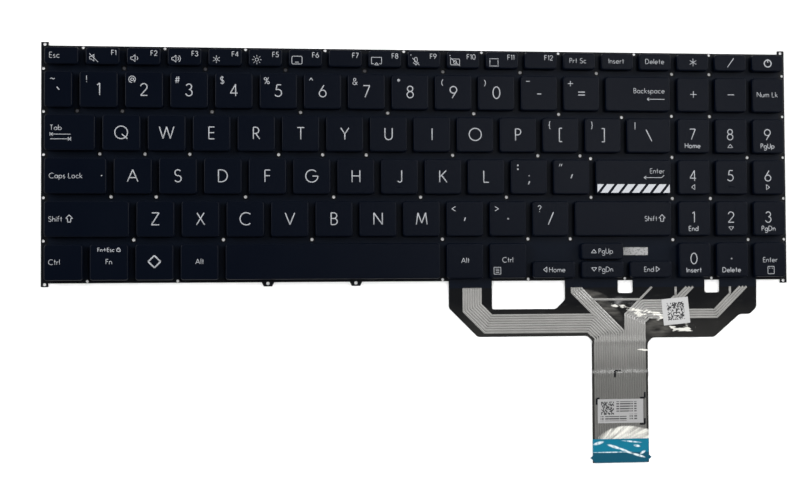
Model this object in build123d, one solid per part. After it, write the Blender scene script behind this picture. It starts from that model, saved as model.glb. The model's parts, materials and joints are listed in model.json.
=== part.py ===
from build123d import *
import os
from collections import namedtuple
from math import asin, atan, degrees, hypot

# Laptop replacement keyboard: a stamped base plate, a printed circuit film with its tail, and
# scissor keys on rubber domes. Millimetres, X along the rows, +Y towards the function row, +Z up.
# The origin is the middle of the plate's underside.

# Key field
KEY_PITCH = 19.05
ROW_PITCH = 18.45
PAD_PITCH = 17.25
KEY_GAP = 3.1
ROW_GAP = 3.35
BLOCK_GAP = 3.7
BACKQUOTE_WIDTH = 11.6
BACKSLASH_WIDTH = 19.5
FUNCTION_CAP_DEPTH = 7.0
FUNCTION_ROW_GAP = 3.3
ARROW_SPLIT = 1.0
MAIN_STEPS = 11.5
COMMA_STEPS = 7
ROWS = 5

# Keycap
CAP_HEIGHT = 1.9
CAP_TOP_WALL = 0.8
CAP_SIDE_WALL = 0.8
CAP_CORNER = 1.1
CAP_FLARE = 0.2
KEY_TRAVEL = 1.4
PRESSED_CLEARANCE = 0.15

# Base plate
PLATE_THICKNESS = 0.4
PLATE_SIDE_MARGIN = 1.9
PLATE_BACK_MARGIN = 1.2
PLATE_FRONT_MARGIN = 1.3
EAR_WIDTH = 3.1
EAR_REACH = 1.5
EAR_RUN_IN = 4.0
TAB_WIDTH = 5.4
TAB_TIP_WIDTH = 3.6
TAB_REACH = 1.8
STAKE_HOLE_RADIUS = 0.7
STAKE_SIDES = 6
STAKE_RISE = 0.4
PAD_STAKE_DROP = 0.1
LOW_STAKE_DROP = 0.8
EDGE_HOLE_RADIUS = 0.5
EDGE_HOLE_INSET = 0.75
SIDE_HOLE_INSET = 0.95
EAR_HOLE_INSET = 1.0
TAB_HOLE_REACH = 0.5

# Circuit film and tail
FILM_THICKNESS = 0.25
FILM_SIDE_INSET = 3.0
FILM_END_INSET = 2.0
FILM_HOLE_HALF = 1.15
APRON_DEPTH = 24.6
APRON_STEP = 1.0
APRON_LEFT_RUN = 2.6
APRON_RIGHT_INSET = 14.3
APRON_LEFT_SHOULDER = 11.8
APRON_LEFT_SLOPE = 12.8
APRON_RIGHT_SHOULDER = 15.4
APRON_RIGHT_SLOPE_X = 11.8
APRON_RIGHT_LEDGE = 7.8
LEDGE_CORNER = 3.0
WINDOW_WIDTH = 32.7
WINDOW_DEPTH = 12.5
WINDOW_CHAMFER = 4.0
SMALL_WINDOW_WIDTH = 6.8
SMALL_WINDOW_DEPTH = 5.7
TAIL_WIDTH = 25.4
TAIL_OFFSET = 2.6
TAIL_LENGTH = 56.2
TAIL_ROOT_CORNER = 2.0
FILM_OVERHANG = 3.0
FOLD_HEIGHT = 0.55
FOLD_FROM_APRON = 2.6
FOLD_RUN = 1.8
CREASE_HEIGHT = 0.25
CREASE_FROM_APRON = 16.8

# Tail stiffener and stickers
STIFFENER_LENGTH = 10.5
STIFFENER_THICKNESS = 0.2
STIFFENER_EAR = 1.2
STIFFENER_EAR_FROM_END = 2.3
STIFFENER_EAR_HALF = 0.9
STIFFENER_CORNER = 1.0
STICKER_THICKNESS = 0.1
FILM_STICKER_WIDTH = 12.2
FILM_STICKER_DEPTH = 11.7
FILM_STICKER_TURN = 5.5
FILM_STICKER_X = 25.6
FILM_STICKER_FROM_EDGE = 13.9
TAIL_LABEL_WIDTH = 20.6
TAIL_LABEL_DEPTH = 10.6
TAIL_LABEL_FROM_END = 22.8
PLATE_STICKER_WIDTH = 11.3
PLATE_STICKER_DEPTH = 3.5
PLATE_STICKER_INSET = 0.7

# Key supports
DOME_BASE_RADIUS = 2.7
DOME_TOP_RADIUS = 1.5
DOME_SIDES = 5
LINK_THICKNESS = 0.7
LINK_BAR = 1.1
LINK_END_CLEARANCE = 1.2
LINK_SIDE_CLEARANCE = 0.15
LINK_SPAN = 11.6
SEAT_CLEARANCE = 0.05
SHORT_KEY_BAR = 0.6
SHORT_KEY_DOME = 1.15
BAR_SIZE = 0.8
BAR_ARM = 5.2
BAR_WALL_CLEARANCE = 0.25
BAR_END_MARGIN = 3.0
TWIN_OFFSET = 22.0
POST_FOOT = 4.4
POST_DRAFT = 12.0

# Sizes that follow
CAP_WIDTH = KEY_PITCH - KEY_GAP
CAP_DEPTH = ROW_PITCH - ROW_GAP
PAD_CAP_WIDTH = PAD_PITCH - KEY_GAP
FILM_BOTTOM = PLATE_THICKNESS
FILM_TOP = FILM_BOTTOM + FILM_THICKNESS
CAP_BOTTOM = FILM_TOP + PRESSED_CLEARANCE + KEY_TRAVEL
CAP_CEILING = CAP_BOTTOM + CAP_HEIGHT - CAP_TOP_WALL
SUPPORT_HEIGHT = CAP_CEILING - FILM_TOP - 2 * SEAT_CLEARANCE
CAP_DRAFT = degrees(atan(CAP_FLARE / CAP_HEIGHT))

# Rows of keys, left to right: the first and last fill out the row, those between stand on the pitch.
FUNCTION_KEYS = ["esc"] + [f"f{n}" for n in range(1, 13)]
FUNCTION_KEYS += ["print_screen", "insert", "delete", "pad_multiply", "pad_divide", "power"]
DIGIT_KEYS = ["backquote", *"1234567890", "minus", "equals", "backspace"]
UPPER_KEYS = ["tab", *"qwertyuiop", "left_bracket", "right_bracket", "backslash"]
HOME_KEYS = ["caps_lock", *"asdfghjkl", "semicolon", "quote", "enter"]
LOWER_KEYS = ["left_shift", *"zxcvbnm", "comma", "period", "slash", "right_shift"]
CORNER_KEYS = ["left_ctrl", "fn", "system", "left_alt"]
PAD_KEYS = [
    ["pad_plus", "pad_minus", "pad_lock"],
    ["pad_7", "pad_8", "pad_9"],
    ["pad_4", "pad_5", "pad_6"],
    ["pad_1", "pad_2", "pad_3"],
    ["pad_0", "pad_point", "pad_enter"],
]
SIDE_NAMES = "esc tab caps_lock left_shift left_ctrl left_alt space enter backspace right_shift"
TRAVELLING = set("qwertyuiopasdfghjklzxcvbnm1234567890") | set(SIDE_NAMES.split())
BARRED = ["backspace", "caps_lock", "enter", "left_shift", "right_shift", "space"]
TWIN_SUPPORTED = ["space"]

Key = namedtuple("Key", "name x y width depth")


def spanning(name, left, right, y, depth):
    return Key(name, (left + right) / 2, y, right - left, depth)


def left_of(key):
    return key.x - key.width / 2


def right_of(key):
    return key.x + key.width / 2


def gap_x(row, index):
    """Middle of the gap after the key at this place in the row."""
    return (right_of(row[index]) + left_of(row[index + 1])) / 2


# Where the blocks stand
MAIN_WIDTH = BACKQUOTE_WIDTH + BACKSLASH_WIDTH + 2 * KEY_GAP + CAP_WIDTH + MAIN_STEPS * KEY_PITCH
FIELD_WIDTH = MAIN_WIDTH + BLOCK_GAP + 2 * PAD_PITCH + PAD_CAP_WIDTH
FIELD_DEPTH = ROWS * ROW_PITCH - ROW_GAP + FUNCTION_ROW_GAP + FUNCTION_CAP_DEPTH
PLATE_LENGTH = FIELD_WIDTH + 2 * PLATE_SIDE_MARGIN
PLATE_DEPTH = FIELD_DEPTH + PLATE_BACK_MARGIN + PLATE_FRONT_MARGIN
FIELD_LEFT = -FIELD_WIDTH / 2
MAIN_RIGHT = FIELD_LEFT + MAIN_WIDTH
PLATE_RIGHT = PLATE_LENGTH / 2
PLATE_BACK = PLATE_DEPTH / 2
PLATE_FRONT = -PLATE_BACK
FIELD_BACK = PLATE_BACK - PLATE_BACK_MARGIN
FUNCTION_Y = FIELD_BACK - FUNCTION_CAP_DEPTH / 2
DIGIT_Y = FIELD_BACK - FUNCTION_CAP_DEPTH - FUNCTION_ROW_GAP - CAP_DEPTH / 2
ROW_Y = [DIGIT_Y - ROW_PITCH * row for row in range(ROWS)]


def function_row():
    pitch = (FIELD_WIDTH - PAD_CAP_WIDTH) / (len(FUNCTION_KEYS) - 1)
    first = FIELD_LEFT + PAD_CAP_WIDTH / 2
    return [
        Key(name, first + pitch * place, FUNCTION_Y, PAD_CAP_WIDTH, FUNCTION_CAP_DEPTH)
        for place, name in enumerate(FUNCTION_KEYS)
    ]


def main_row(names, first_x, y):
    inner = [
        Key(name, first_x + KEY_PITCH * place, y, CAP_WIDTH, CAP_DEPTH)
        for place, name in enumerate(names[1:-1])
    ]
    lead = spanning(names[0], FIELD_LEFT, left_of(inner[0]) - KEY_GAP, y, CAP_DEPTH)
    trail = spanning(names[-1], right_of(inner[-1]) + KEY_GAP, MAIN_RIGHT, y, CAP_DEPTH)
    return [lead, *inner, trail]


def bottom_row(comma_x, y):
    """Corner keys, space bar, right-hand keys and the arrows, two of them one above the other."""
    first = FIELD_LEFT + CAP_WIDTH / 2
    corner = [
        Key(name, first + KEY_PITCH * place, y, CAP_WIDTH, CAP_DEPTH)
        for place, name in enumerate(CORNER_KEYS)
    ]
    alt = Key("right_alt", comma_x, y, CAP_WIDTH, CAP_DEPTH)
    ctrl = Key("right_ctrl", comma_x + KEY_PITCH, y, CAP_WIDTH, CAP_DEPTH)
    space = spanning("space", right_of(corner[-1]) + KEY_GAP, left_of(alt) - KEY_GAP, y, CAP_DEPTH)
    arrow_left = right_of(ctrl) + KEY_GAP
    arrow_width = (MAIN_RIGHT - arrow_left - 2 * KEY_GAP) / 3
    arrow_depth = (CAP_DEPTH - ARROW_SPLIT) / 2
    low_y = y - (CAP_DEPTH - arrow_depth) / 2
    first = arrow_left + arrow_width / 2
    low = [
        Key(name, first + (arrow_width + KEY_GAP) * place, low_y, arrow_width, arrow_depth)
        for place, name in enumerate(["left_arrow", "down_arrow", "right_arrow"])
    ]
    up = low[1]._replace(name="up_arrow", y=2 * y - low_y)
    return [*corner, space, alt, ctrl, *low], up


def pad_row(names, y):
    first = MAIN_RIGHT + BLOCK_GAP + PAD_CAP_WIDTH / 2
    return [
        Key(name, first + PAD_PITCH * place, y, PAD_CAP_WIDTH, CAP_DEPTH)
        for place, name in enumerate(names)
    ]


DIGIT_X = FIELD_LEFT + BACKQUOTE_WIDTH + KEY_GAP + CAP_WIDTH / 2
UPPER_X = DIGIT_X + KEY_PITCH / 2
HOME_X = UPPER_X + KEY_PITCH / 4
LOWER_X = HOME_X + KEY_PITCH / 2
functions = function_row()
digits = main_row(DIGIT_KEYS, DIGIT_X, ROW_Y[0])
upper = main_row(UPPER_KEYS, UPPER_X, ROW_Y[1])
home = main_row(HOME_KEYS, HOME_X, ROW_Y[2])
lower = main_row(LOWER_KEYS, LOWER_X, ROW_Y[3])
bottom, up_arrow = bottom_row(LOWER_X + COMMA_STEPS * KEY_PITCH, ROW_Y[4])
pad = [pad_row(names, y) for names, y in zip(PAD_KEYS, ROW_Y)]


# Stake holes: the posts of a top case pass through the crossings of the key gaps.
def gap_line(row):
    """Middle of the gap below a row of full-size keys."""
    return ROW_Y[row] - ROW_PITCH / 2


FUNCTION_LINE = FIELD_BACK - FUNCTION_CAP_DEPTH - FUNCTION_ROW_GAP / 2
BLOCK_LINE = MAIN_RIGHT + BLOCK_GAP / 2
stakes = [
    (gap_x(functions, place), FUNCTION_LINE + STAKE_RISE)
    for place in (1, 3, 5, 7, 9, 11, 13, 15, 16)
]
for number, (row, places) in enumerate(
    [
        (digits, (0, 1, 3, 5, 7, 9, 11)),
        (upper, (0, 1, 2, 4, 5, 6, 8, 10, 11)),
        (home, (0, 1, 3, 5, 7, 9, 11)),
        (lower, (0, 2, 4, 7, 9, 10)),
    ]
):
    stakes += [(gap_x(row, place), gap_line(number) + STAKE_RISE) for place in places]
    pad_line = gap_line(number) - PAD_STAKE_DROP
    stakes += [(BLOCK_LINE, pad_line), (gap_x(pad[number], number % 2), pad_line)]
stakes += [
    (gap_x(upper, 12), gap_line(0) - LOW_STAKE_DROP),
    (gap_x(home, 11), gap_line(1) - LOW_STAKE_DROP),
]

back_holes = [gap_x(functions, place) for place in range(0, 17, 2)]
front_holes = [gap_x(bottom, place) for place in (0, 2, 4, 6, 8)] + [gap_x(pad[4], 0)]
side_lines = [FUNCTION_LINE] + [gap_line(row) for row in range(ROWS - 1)]
tab_places = [gap_x(lower, 3), gap_x(lower, 5)]


def stake_hole(radius=STAKE_HOLE_RADIUS):
    return RegularPolygon(radius, STAKE_SIDES, major_radius=False, rotation=180 / STAKE_SIDES)


def base_plate():
    """Flat blank with an ear at each corner, two tabs on the front edge, and stake holes all over."""
    blank = Rectangle(PLATE_LENGTH, PLATE_DEPTH)
    ear_x = PLATE_RIGHT - EAR_WIDTH / 2
    ear_y = PLATE_BACK + EAR_REACH - (EAR_REACH + EAR_RUN_IN) / 2
    ear = Rectangle(EAR_WIDTH, EAR_REACH + EAR_RUN_IN)
    blank += [Pos(sx * ear_x, sy * ear_y) * ear for sx in (-1, 1) for sy in (-1, 1)]
    root, tip = TAB_WIDTH / 2, TAB_TIP_WIDTH / 2
    left = [(-root, EAR_RUN_IN), (-root, 0), (-tip, -TAB_REACH)]
    right = [(-x, y) for x, y in reversed(left)]
    tab = Polygon(*left, *right, align=None)
    blank += [Pos(x, PLATE_FRONT) * tab for x in tab_places]
    ear_hole_y = PLATE_BACK + EAR_REACH - EAR_HOLE_INSET
    round_hole = Circle(STAKE_HOLE_RADIUS)
    cuts = [Pos(sx * ear_x, sy * ear_hole_y) * round_hole for sx in (-1, 1) for sy in (-1, 1)]
    cuts += [Pos(x, PLATE_FRONT - TAB_HOLE_REACH) * stake_hole() for x in tab_places]
    cuts += [Pos(x, y) * stake_hole() for x, y in stakes]
    small_hole = stake_hole(EDGE_HOLE_RADIUS)
    cuts += [Pos(x, PLATE_BACK - EDGE_HOLE_INSET) * small_hole for x in back_holes]
    cuts += [Pos(x, PLATE_FRONT + EDGE_HOLE_INSET) * small_hole for x in front_holes]
    cuts += [Pos(sx * (PLATE_RIGHT - SIDE_HOLE_INSET), y) * small_hole for sx in (-1, 1) for y in side_lines]
    return extrude(blank - cuts, PLATE_THICKNESS)


# Film: the level part lies on the plate, then the apron slopes down to the surface, and the tail
# has one fold at its root and one lighter crease.
APRON_LEFT = front_holes[2] + APRON_LEFT_RUN
APRON_RIGHT = PLATE_RIGHT - APRON_RIGHT_INSET
APRON_END = PLATE_FRONT - APRON_DEPTH
TAIL_X = front_holes[4] - TAIL_OFFSET
TAIL_LEFT = TAIL_X - TAIL_WIDTH / 2
TAIL_RIGHT = TAIL_X + TAIL_WIDTH / 2
TAIL_END = APRON_END - TAIL_LENGTH
FOLD_Y = APRON_END - FOLD_FROM_APRON
CREASE_Y = APRON_END - CREASE_FROM_APRON
FILM_PATH = [
    (PLATE_BACK, FILM_BOTTOM),
    (PLATE_FRONT - FILM_OVERHANG, FILM_BOTTOM),
    (APRON_END, 0),
    (FOLD_Y, FOLD_HEIGHT),
    (FOLD_Y - FOLD_RUN, 0),
    (CREASE_Y + FOLD_RUN, 0),
    (CREASE_Y, CREASE_HEIGHT),
    (CREASE_Y - FOLD_RUN, 0),
    (TAIL_END - FOLD_RUN, 0),
]


def sheet(outline, rise, thickness):
    """Sheet of this outline that follows the film's path, at a height above the film's underside."""
    under = [(y, z + rise) for y, z in FILM_PATH]
    over = [(y, z + rise + thickness) for y, z in reversed(FILM_PATH)]
    band = extrude(Plane.YZ * Polygon(*under, *over, align=None), PLATE_LENGTH, both=True)
    tall = extrude(outline, rise + thickness + FILM_BOTTOM + FOLD_HEIGHT, dir=(0, 0, 1))
    return (band & tall).solid()


def film_outline():
    side = PLATE_RIGHT - FILM_SIDE_INSET
    back = PLATE_BACK - FILM_END_INSET
    front = -back
    left_end = APRON_END
    right_end = APRON_END - APRON_STEP
    shoulder = PLATE_FRONT - APRON_LEFT_SHOULDER
    ledge = PLATE_FRONT - APRON_RIGHT_SHOULDER
    ledge_x = APRON_RIGHT - APRON_RIGHT_LEDGE
    points = [
        (-side, back),
        (side, back),
        (side, front),
        (APRON_RIGHT, front),
        (APRON_RIGHT, ledge + LEDGE_CORNER),
        (APRON_RIGHT - LEDGE_CORNER, ledge),
        (ledge_x, ledge),
        (ledge_x - APRON_RIGHT_SLOPE_X, right_end),
        (TAIL_RIGHT + TAIL_ROOT_CORNER, right_end),
        (TAIL_RIGHT, right_end - TAIL_ROOT_CORNER),
        (TAIL_RIGHT, TAIL_END),
        (TAIL_LEFT, TAIL_END),
        (TAIL_LEFT, left_end - TAIL_ROOT_CORNER),
        (TAIL_LEFT - TAIL_ROOT_CORNER, left_end),
        (APRON_LEFT + APRON_LEFT_SLOPE, left_end),
        (APRON_LEFT, shoulder),
        (APRON_LEFT, front),
        (-side, front),
    ]
    sill = PLATE_FRONT - WINDOW_DEPTH
    half = WINDOW_WIDTH / 2
    window = Polygon(
        (-half, front),
        (half, front),
        (half, sill + WINDOW_CHAMFER),
        (half - WINDOW_CHAMFER, sill),
        (-half, sill),
        align=None,
    )
    small_depth = front - PLATE_FRONT + SMALL_WINDOW_DEPTH
    small = Pos(0, front - small_depth / 2) * Rectangle(SMALL_WINDOW_WIDTH, small_depth)
    cuts = [Pos(front_holes[3], 0) * window]
    cuts += [Pos(x, 0) * small for x in front_holes[4:]]
    cuts += [Pos(x, y) * Rectangle(2 * FILM_HOLE_HALF, 2 * FILM_HOLE_HALF) for x, y in stakes]
    return Polygon(*points, align=None) - cuts


def tail_stiffener():
    """Reinforcing strip on the tail's end, with a pointed ear on each side and clipped end corners."""
    half = TAIL_WIDTH / 2
    ear_y = TAIL_END + STIFFENER_EAR_FROM_END
    right = [
        (half, TAIL_END + STIFFENER_LENGTH),
        (half, ear_y + STIFFENER_EAR_HALF),
        (half + STIFFENER_EAR, ear_y),
        (half, ear_y - STIFFENER_EAR_HALF),
        (half, TAIL_END + STIFFENER_CORNER),
        (half - STIFFENER_CORNER, TAIL_END),
    ]
    left = [(-x, y) for x, y in reversed(right)]
    return sheet(Pos(TAIL_X, 0) * Polygon(*right, *left, align=None), FILM_THICKNESS, STIFFENER_THICKNESS)


def sticker(x, y, width, depth, turn=0):
    return sheet(Pos(x, y) * Rot(0, 0, turn) * Rectangle(width, depth), FILM_THICKNESS, STICKER_THICKNESS)


# Keys and what carries them
def cap_block(key):
    """Cap with clipped corners, a little wider at its foot than at its top."""
    foot = Rectangle(key.width + 2 * CAP_FLARE, key.depth + 2 * CAP_FLARE)
    block = extrude(chamfer(foot.vertices(), CAP_CORNER), CAP_HEIGHT, taper=CAP_DRAFT)
    return Pos(key.x, key.y, CAP_BOTTOM) * block


def travelling_cap(key):
    room = Rectangle(key.width - 2 * CAP_SIDE_WALL, key.depth - 2 * CAP_SIDE_WALL)
    pocket = Pos(key.x, key.y, CAP_BOTTOM) * extrude(room, CAP_HEIGHT - CAP_TOP_WALL)
    return (cap_block(key) - pocket).solid()


def seated_cap(key):
    """Cap in one piece with the post that carries it on the film."""
    foot = min(POST_FOOT, key.depth - 2 * CAP_SIDE_WALL)
    post = extrude(Rectangle(foot, foot), CAP_BOTTOM - FILM_TOP, taper=POST_DRAFT)
    return (cap_block(key) + Pos(key.x, key.y, FILM_TOP) * post).solid()


def is_short(key):
    return key.depth < CAP_DEPTH


def support_places(key):
    offsets = (-TWIN_OFFSET, TWIN_OFFSET) if key.name in TWIN_SUPPORTED else (0,)
    return [key.x + offset for offset in offsets]


def rubber_dome(key, x):
    radius = SHORT_KEY_DOME if is_short(key) else DOME_BASE_RADIUS
    slope = degrees(atan((DOME_BASE_RADIUS - DOME_TOP_RADIUS) / SUPPORT_HEIGHT))
    taper = 0 if is_short(key) else slope
    dome = extrude(RegularPolygon(radius, DOME_SIDES), SUPPORT_HEIGHT, taper=taper)
    return Pos(x, key.y, FILM_TOP + SEAT_CLEARANCE) * dome


def bridge(length, width, bar, thickness):
    """U-shaped frame: a cross bar at one end of two arms along Y, tilted to span film and ceiling."""
    tilt = degrees(asin(SUPPORT_HEIGHT / hypot(length, thickness)) - atan(thickness / length))
    y, x = length / 2, width / 2
    right = [(x, -y), (x, y), (x - bar, y), (x - bar, bar - y)]
    left = [(-px, py) for px, py in reversed(right)]
    frame = Pos(0, 0, -thickness / 2) * extrude(Polygon(*right, *left, align=None), thickness)
    return Rot(tilt, 0, 0) * frame


def scissor_pair(key, x):
    """Outer frame that rises away from its cross bar, and inner frame that falls away from it."""
    middle = Pos(x, key.y, FILM_TOP + SEAT_CLEARANCE + SUPPORT_HEIGHT / 2)
    if is_short(key):
        bar = SHORT_KEY_BAR
        span = key.depth - 2 * CAP_SIDE_WALL - 2 * LINK_SIDE_CLEARANCE
        length = key.width - 2 * CAP_SIDE_WALL - 2 * LINK_END_CLEARANCE
        middle = middle * Rot(0, 0, 90)
    else:
        bar = LINK_BAR
        span = LINK_SPAN
        length = key.depth - 2 * CAP_SIDE_WALL - 2 * LINK_END_CLEARANCE
    outer = bridge(length, span, bar, LINK_THICKNESS)
    inner = bridge(length, span - 2 * bar - 2 * LINK_SIDE_CLEARANCE, bar, LINK_THICKNESS)
    return middle * outer, middle * Rot(180, 0, 0) * Rot(0, 0, 180) * inner


def stabilizer_bar(key):
    """Wire under a wide cap: its long run hangs at the back, its two arms come down to the film."""
    bar = bridge(BAR_ARM, key.width - 2 * BAR_END_MARGIN, BAR_SIZE, BAR_SIZE)
    back = key.y + key.depth / 2 - CAP_SIDE_WALL - BAR_WALL_CLEARANCE
    placed = Rot(180, 0, 0) * bar
    middle = FILM_TOP + SEAT_CLEARANCE + SUPPORT_HEIGHT / 2
    return Pos(key.x, back - placed.bounding_box().max.Y, middle) * placed


main_keys = functions + digits + upper + home + lower + bottom + [up_arrow]
pad_keys = [key for row in pad for key in row]
moving = [key for key in main_keys if key.name in TRAVELLING]
groups = {
    "function_row_keys": [key for key in functions if key.name not in TRAVELLING],
    "number_pad_keys": pad_keys,
    "punctuation_keys": [key for key in digits + upper + home + lower if key.name not in TRAVELLING],
    "arrow_and_side_keys": [key for key in bottom + [up_arrow] if key.name not in TRAVELLING],
}

nodes = {"base_plate": base_plate(), "circuit_film": sheet(film_outline(), 0, FILM_THICKNESS)}
nodes["tail_stiffener"] = tail_stiffener()
film_sticker_y = PLATE_FRONT - FILM_STICKER_FROM_EDGE
nodes["film_sticker"] = sticker(
    TAIL_X + FILM_STICKER_X, film_sticker_y, FILM_STICKER_WIDTH, FILM_STICKER_DEPTH, FILM_STICKER_TURN
)
nodes["tail_label"] = sticker(TAIL_X, TAIL_END + TAIL_LABEL_FROM_END, TAIL_LABEL_WIDTH, TAIL_LABEL_DEPTH)
plate_sticker_x = right_of(up_arrow) + PLATE_STICKER_INSET + PLATE_STICKER_WIDTH / 2
nodes["plate_sticker"] = sticker(plate_sticker_x, up_arrow.y, PLATE_STICKER_WIDTH, PLATE_STICKER_DEPTH)
places = [(key, x) for key in moving for x in support_places(key)]
pairs = [scissor_pair(key, x) for key, x in places]
nodes["rubber_domes"] = Compound(children=[rubber_dome(key, x) for key, x in places])
nodes["scissor_outer_frames"] = Compound(children=[outer for outer, inner in pairs])
nodes["scissor_inner_frames"] = Compound(children=[inner for outer, inner in pairs])
nodes["stabilizer_bars"] = Compound(children=[stabilizer_bar(key) for key in moving if key.name in BARRED])
for name, keys in groups.items():
    nodes[name] = Compound(children=[seated_cap(key) for key in keys])
for key in moving:
    nodes["keycap_" + key.name] = travelling_cap(key)

for name, shape in nodes.items():
    export_step(shape, f"parts/{name}.step")
print(len(nodes), "nodes,", len(moving), "travelling keys,", len(stakes), "inner stake holes")
print(f"plate {PLATE_LENGTH:.2f} x {PLATE_DEPTH:.2f}, film reaches y {TAIL_END:.2f}")
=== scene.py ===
# %% [markdown]
# # A laptop keyboard module
# The module is a stamped black plate with a printed film on it, and keys that stand on rubber domes
# and crossed links. The solids come from the CAD frame. Here each one gets the roundings, prints and
# finishes that make it look real, and stays exactly where the frame has it.

# %% Load the frame
import json
from math import atan2, cos, exp, hypot, pi, radians, sin
import bmesh
import bpy
from mathutils import Matrix, Vector

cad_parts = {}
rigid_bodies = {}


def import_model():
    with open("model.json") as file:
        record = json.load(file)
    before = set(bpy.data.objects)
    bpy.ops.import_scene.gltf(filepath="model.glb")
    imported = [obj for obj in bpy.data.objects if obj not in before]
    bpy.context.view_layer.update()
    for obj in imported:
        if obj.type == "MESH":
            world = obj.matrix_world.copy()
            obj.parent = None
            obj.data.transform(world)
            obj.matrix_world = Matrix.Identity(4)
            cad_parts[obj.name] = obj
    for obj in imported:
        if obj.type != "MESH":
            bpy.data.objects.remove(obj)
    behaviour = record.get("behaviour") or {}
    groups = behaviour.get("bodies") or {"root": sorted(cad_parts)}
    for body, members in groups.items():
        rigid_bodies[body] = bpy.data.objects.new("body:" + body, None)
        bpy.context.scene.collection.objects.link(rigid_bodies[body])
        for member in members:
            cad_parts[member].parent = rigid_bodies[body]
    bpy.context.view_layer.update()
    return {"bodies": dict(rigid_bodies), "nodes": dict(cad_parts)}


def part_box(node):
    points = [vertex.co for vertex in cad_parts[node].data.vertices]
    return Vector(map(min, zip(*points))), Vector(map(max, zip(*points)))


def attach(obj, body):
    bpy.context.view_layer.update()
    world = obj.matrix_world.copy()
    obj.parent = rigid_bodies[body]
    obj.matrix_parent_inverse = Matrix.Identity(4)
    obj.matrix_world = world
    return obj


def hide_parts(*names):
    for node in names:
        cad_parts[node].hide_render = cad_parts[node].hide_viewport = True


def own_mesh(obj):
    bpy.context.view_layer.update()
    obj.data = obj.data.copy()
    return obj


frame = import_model()
MM = 0.001

# %% [markdown]
# Operators act on whatever is selected, and the loaded solids arrive selected. So one helper clears
# the selection and makes a single object active, and another selects faces or edges in edit mode by
# a test on their place or normal.

# %% Selection helpers
def focus(*objs):
    bpy.ops.object.select_all(action="DESELECT")
    for obj in objs:
        obj.select_set(True)
    bpy.context.view_layer.objects.active = objs[0]
    return objs[0]


def edit(kind="FACE"):
    bpy.ops.object.mode_set(mode="EDIT")
    bpy.ops.mesh.select_mode(type=kind)


def leave():
    bpy.ops.object.mode_set(mode="OBJECT")
    return bpy.context.object


def pick(kind, test):
    mesh = bpy.context.object.data
    shape = bmesh.from_edit_mesh(mesh)
    bpy.ops.mesh.select_all(action="DESELECT")
    chosen = [part for part in getattr(shape, kind) if test(part)]
    for part in chosen:
        part.select_set(True)
    shape.select_flush_mode()
    bmesh.update_edit_mesh(mesh)
    return len(chosen)


def copy_of_node(node, name):
    """New object with a merged copy of a CAD node's mesh, free of the shading that came with it."""
    copy = bpy.data.objects.new(name, frame["nodes"][node].data.copy())
    bpy.context.scene.collection.objects.link(copy)
    copy.data.materials.clear()
    focus(copy)
    bpy.ops.mesh.customdata_custom_splitnormals_clear()
    edit()
    bpy.ops.mesh.select_all(action="SELECT")
    bpy.ops.mesh.remove_doubles(threshold=0.001 * MM)
    return leave()


def copy_to(source, name, x, y):
    """Copy of a finished template with its own mesh, moved along the plate."""
    copy = bpy.data.objects.new(name, source.data.copy())
    bpy.context.scene.collection.objects.link(copy)
    copy.data.transform(Matrix.Translation((x, y, 0)))
    return copy


def joined(name, parts):
    focus(*parts)
    if len(parts) > 1:
        bpy.ops.object.join()
    whole = bpy.context.object
    whole.name = name
    whole.data.name = name
    return whole


def modified(obj, kind, **settings):
    """Adds a modifier, applies it and returns the object."""
    focus(obj)
    modifier = obj.modifiers.new(kind.lower(), kind)
    for name, value in settings.items():
        setattr(modifier, name, value)
    bpy.ops.object.modifier_apply(modifier=modifier.name)
    return obj


def smoothed(obj, angle=35):
    """Removes faces without area, then shades smooth across gentle edges."""
    focus(obj)
    edit()
    bpy.ops.mesh.select_all(action="SELECT")
    bpy.ops.mesh.dissolve_degenerate(threshold=0.0005 * MM)
    leave()
    bpy.ops.object.shade_smooth_by_angle(angle=radians(angle), keep_sharp_edges=False)
    return obj


# %% [markdown]
# ## Camera, floor and light
# The picture is taken from above, a little left of the middle, so keys on the right show their left
# walls. The floor is plain and near white. A sky that is bright at the horizon and dark overhead
# lights the floor well while flat black tops stay black, because they mirror what is overhead.

# %% Camera and floor
camera_data = bpy.data.cameras.new("camera")
camera_data.lens = 54
camera_data.sensor_width = 36
camera = bpy.data.objects.new("camera", camera_data)
camera.location = (-60.5 * MM, -48.76 * MM, 522.75 * MM)
camera.rotation_euler = (radians(1.47), radians(-5.429), radians(-0.314))
camera_data.clip_start = 0.01
bpy.context.scene.collection.objects.link(camera)
bpy.context.scene.camera = camera

bpy.ops.object.select_all(action="DESELECT")
bpy.ops.mesh.primitive_plane_add(size=12, location=(0, 0, -0.02 * MM))
floor = bpy.context.object
floor.name = "floor"
print("camera over", [round(v / MM, 1) for v in camera.location])

# %% [markdown]
# ## Shader arithmetic
# A mask such as "inside this band" is easiest to read as a sum. The class below wraps a socket, so
# that + - * / and comparisons on it add Math nodes, and Finish builds one material: constants go
# straight onto the shader's own sockets, and only what varies is linked.

# %% Wire and Finish
class Wire:
    def __init__(self, tree, socket):
        self.tree = tree
        self.socket = socket

    def math(self, operation, other, swapped=False):
        node = self.tree.nodes.new("ShaderNodeMath")
        node.operation = operation
        pair = (other, self) if swapped else (self, other)
        for slot, value in zip(node.inputs, pair):
            if isinstance(value, Wire):
                self.tree.links.new(value.socket, slot)
            else:
                slot.default_value = value
        return Wire(self.tree, node.outputs[0])

    def __add__(self, other):
        return self.math("ADD", other)

    __radd__ = __add__

    def __sub__(self, other):
        return self.math("SUBTRACT", other)

    def __rsub__(self, other):
        return self.math("SUBTRACT", other, swapped=True)

    def __mul__(self, other):
        return self.math("MULTIPLY", other)

    __rmul__ = __mul__

    def __truediv__(self, other):
        return self.math("DIVIDE", other)

    def __gt__(self, other):
        return self.math("GREATER_THAN", other)

    def __lt__(self, other):
        return self.math("LESS_THAN", other)


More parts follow.
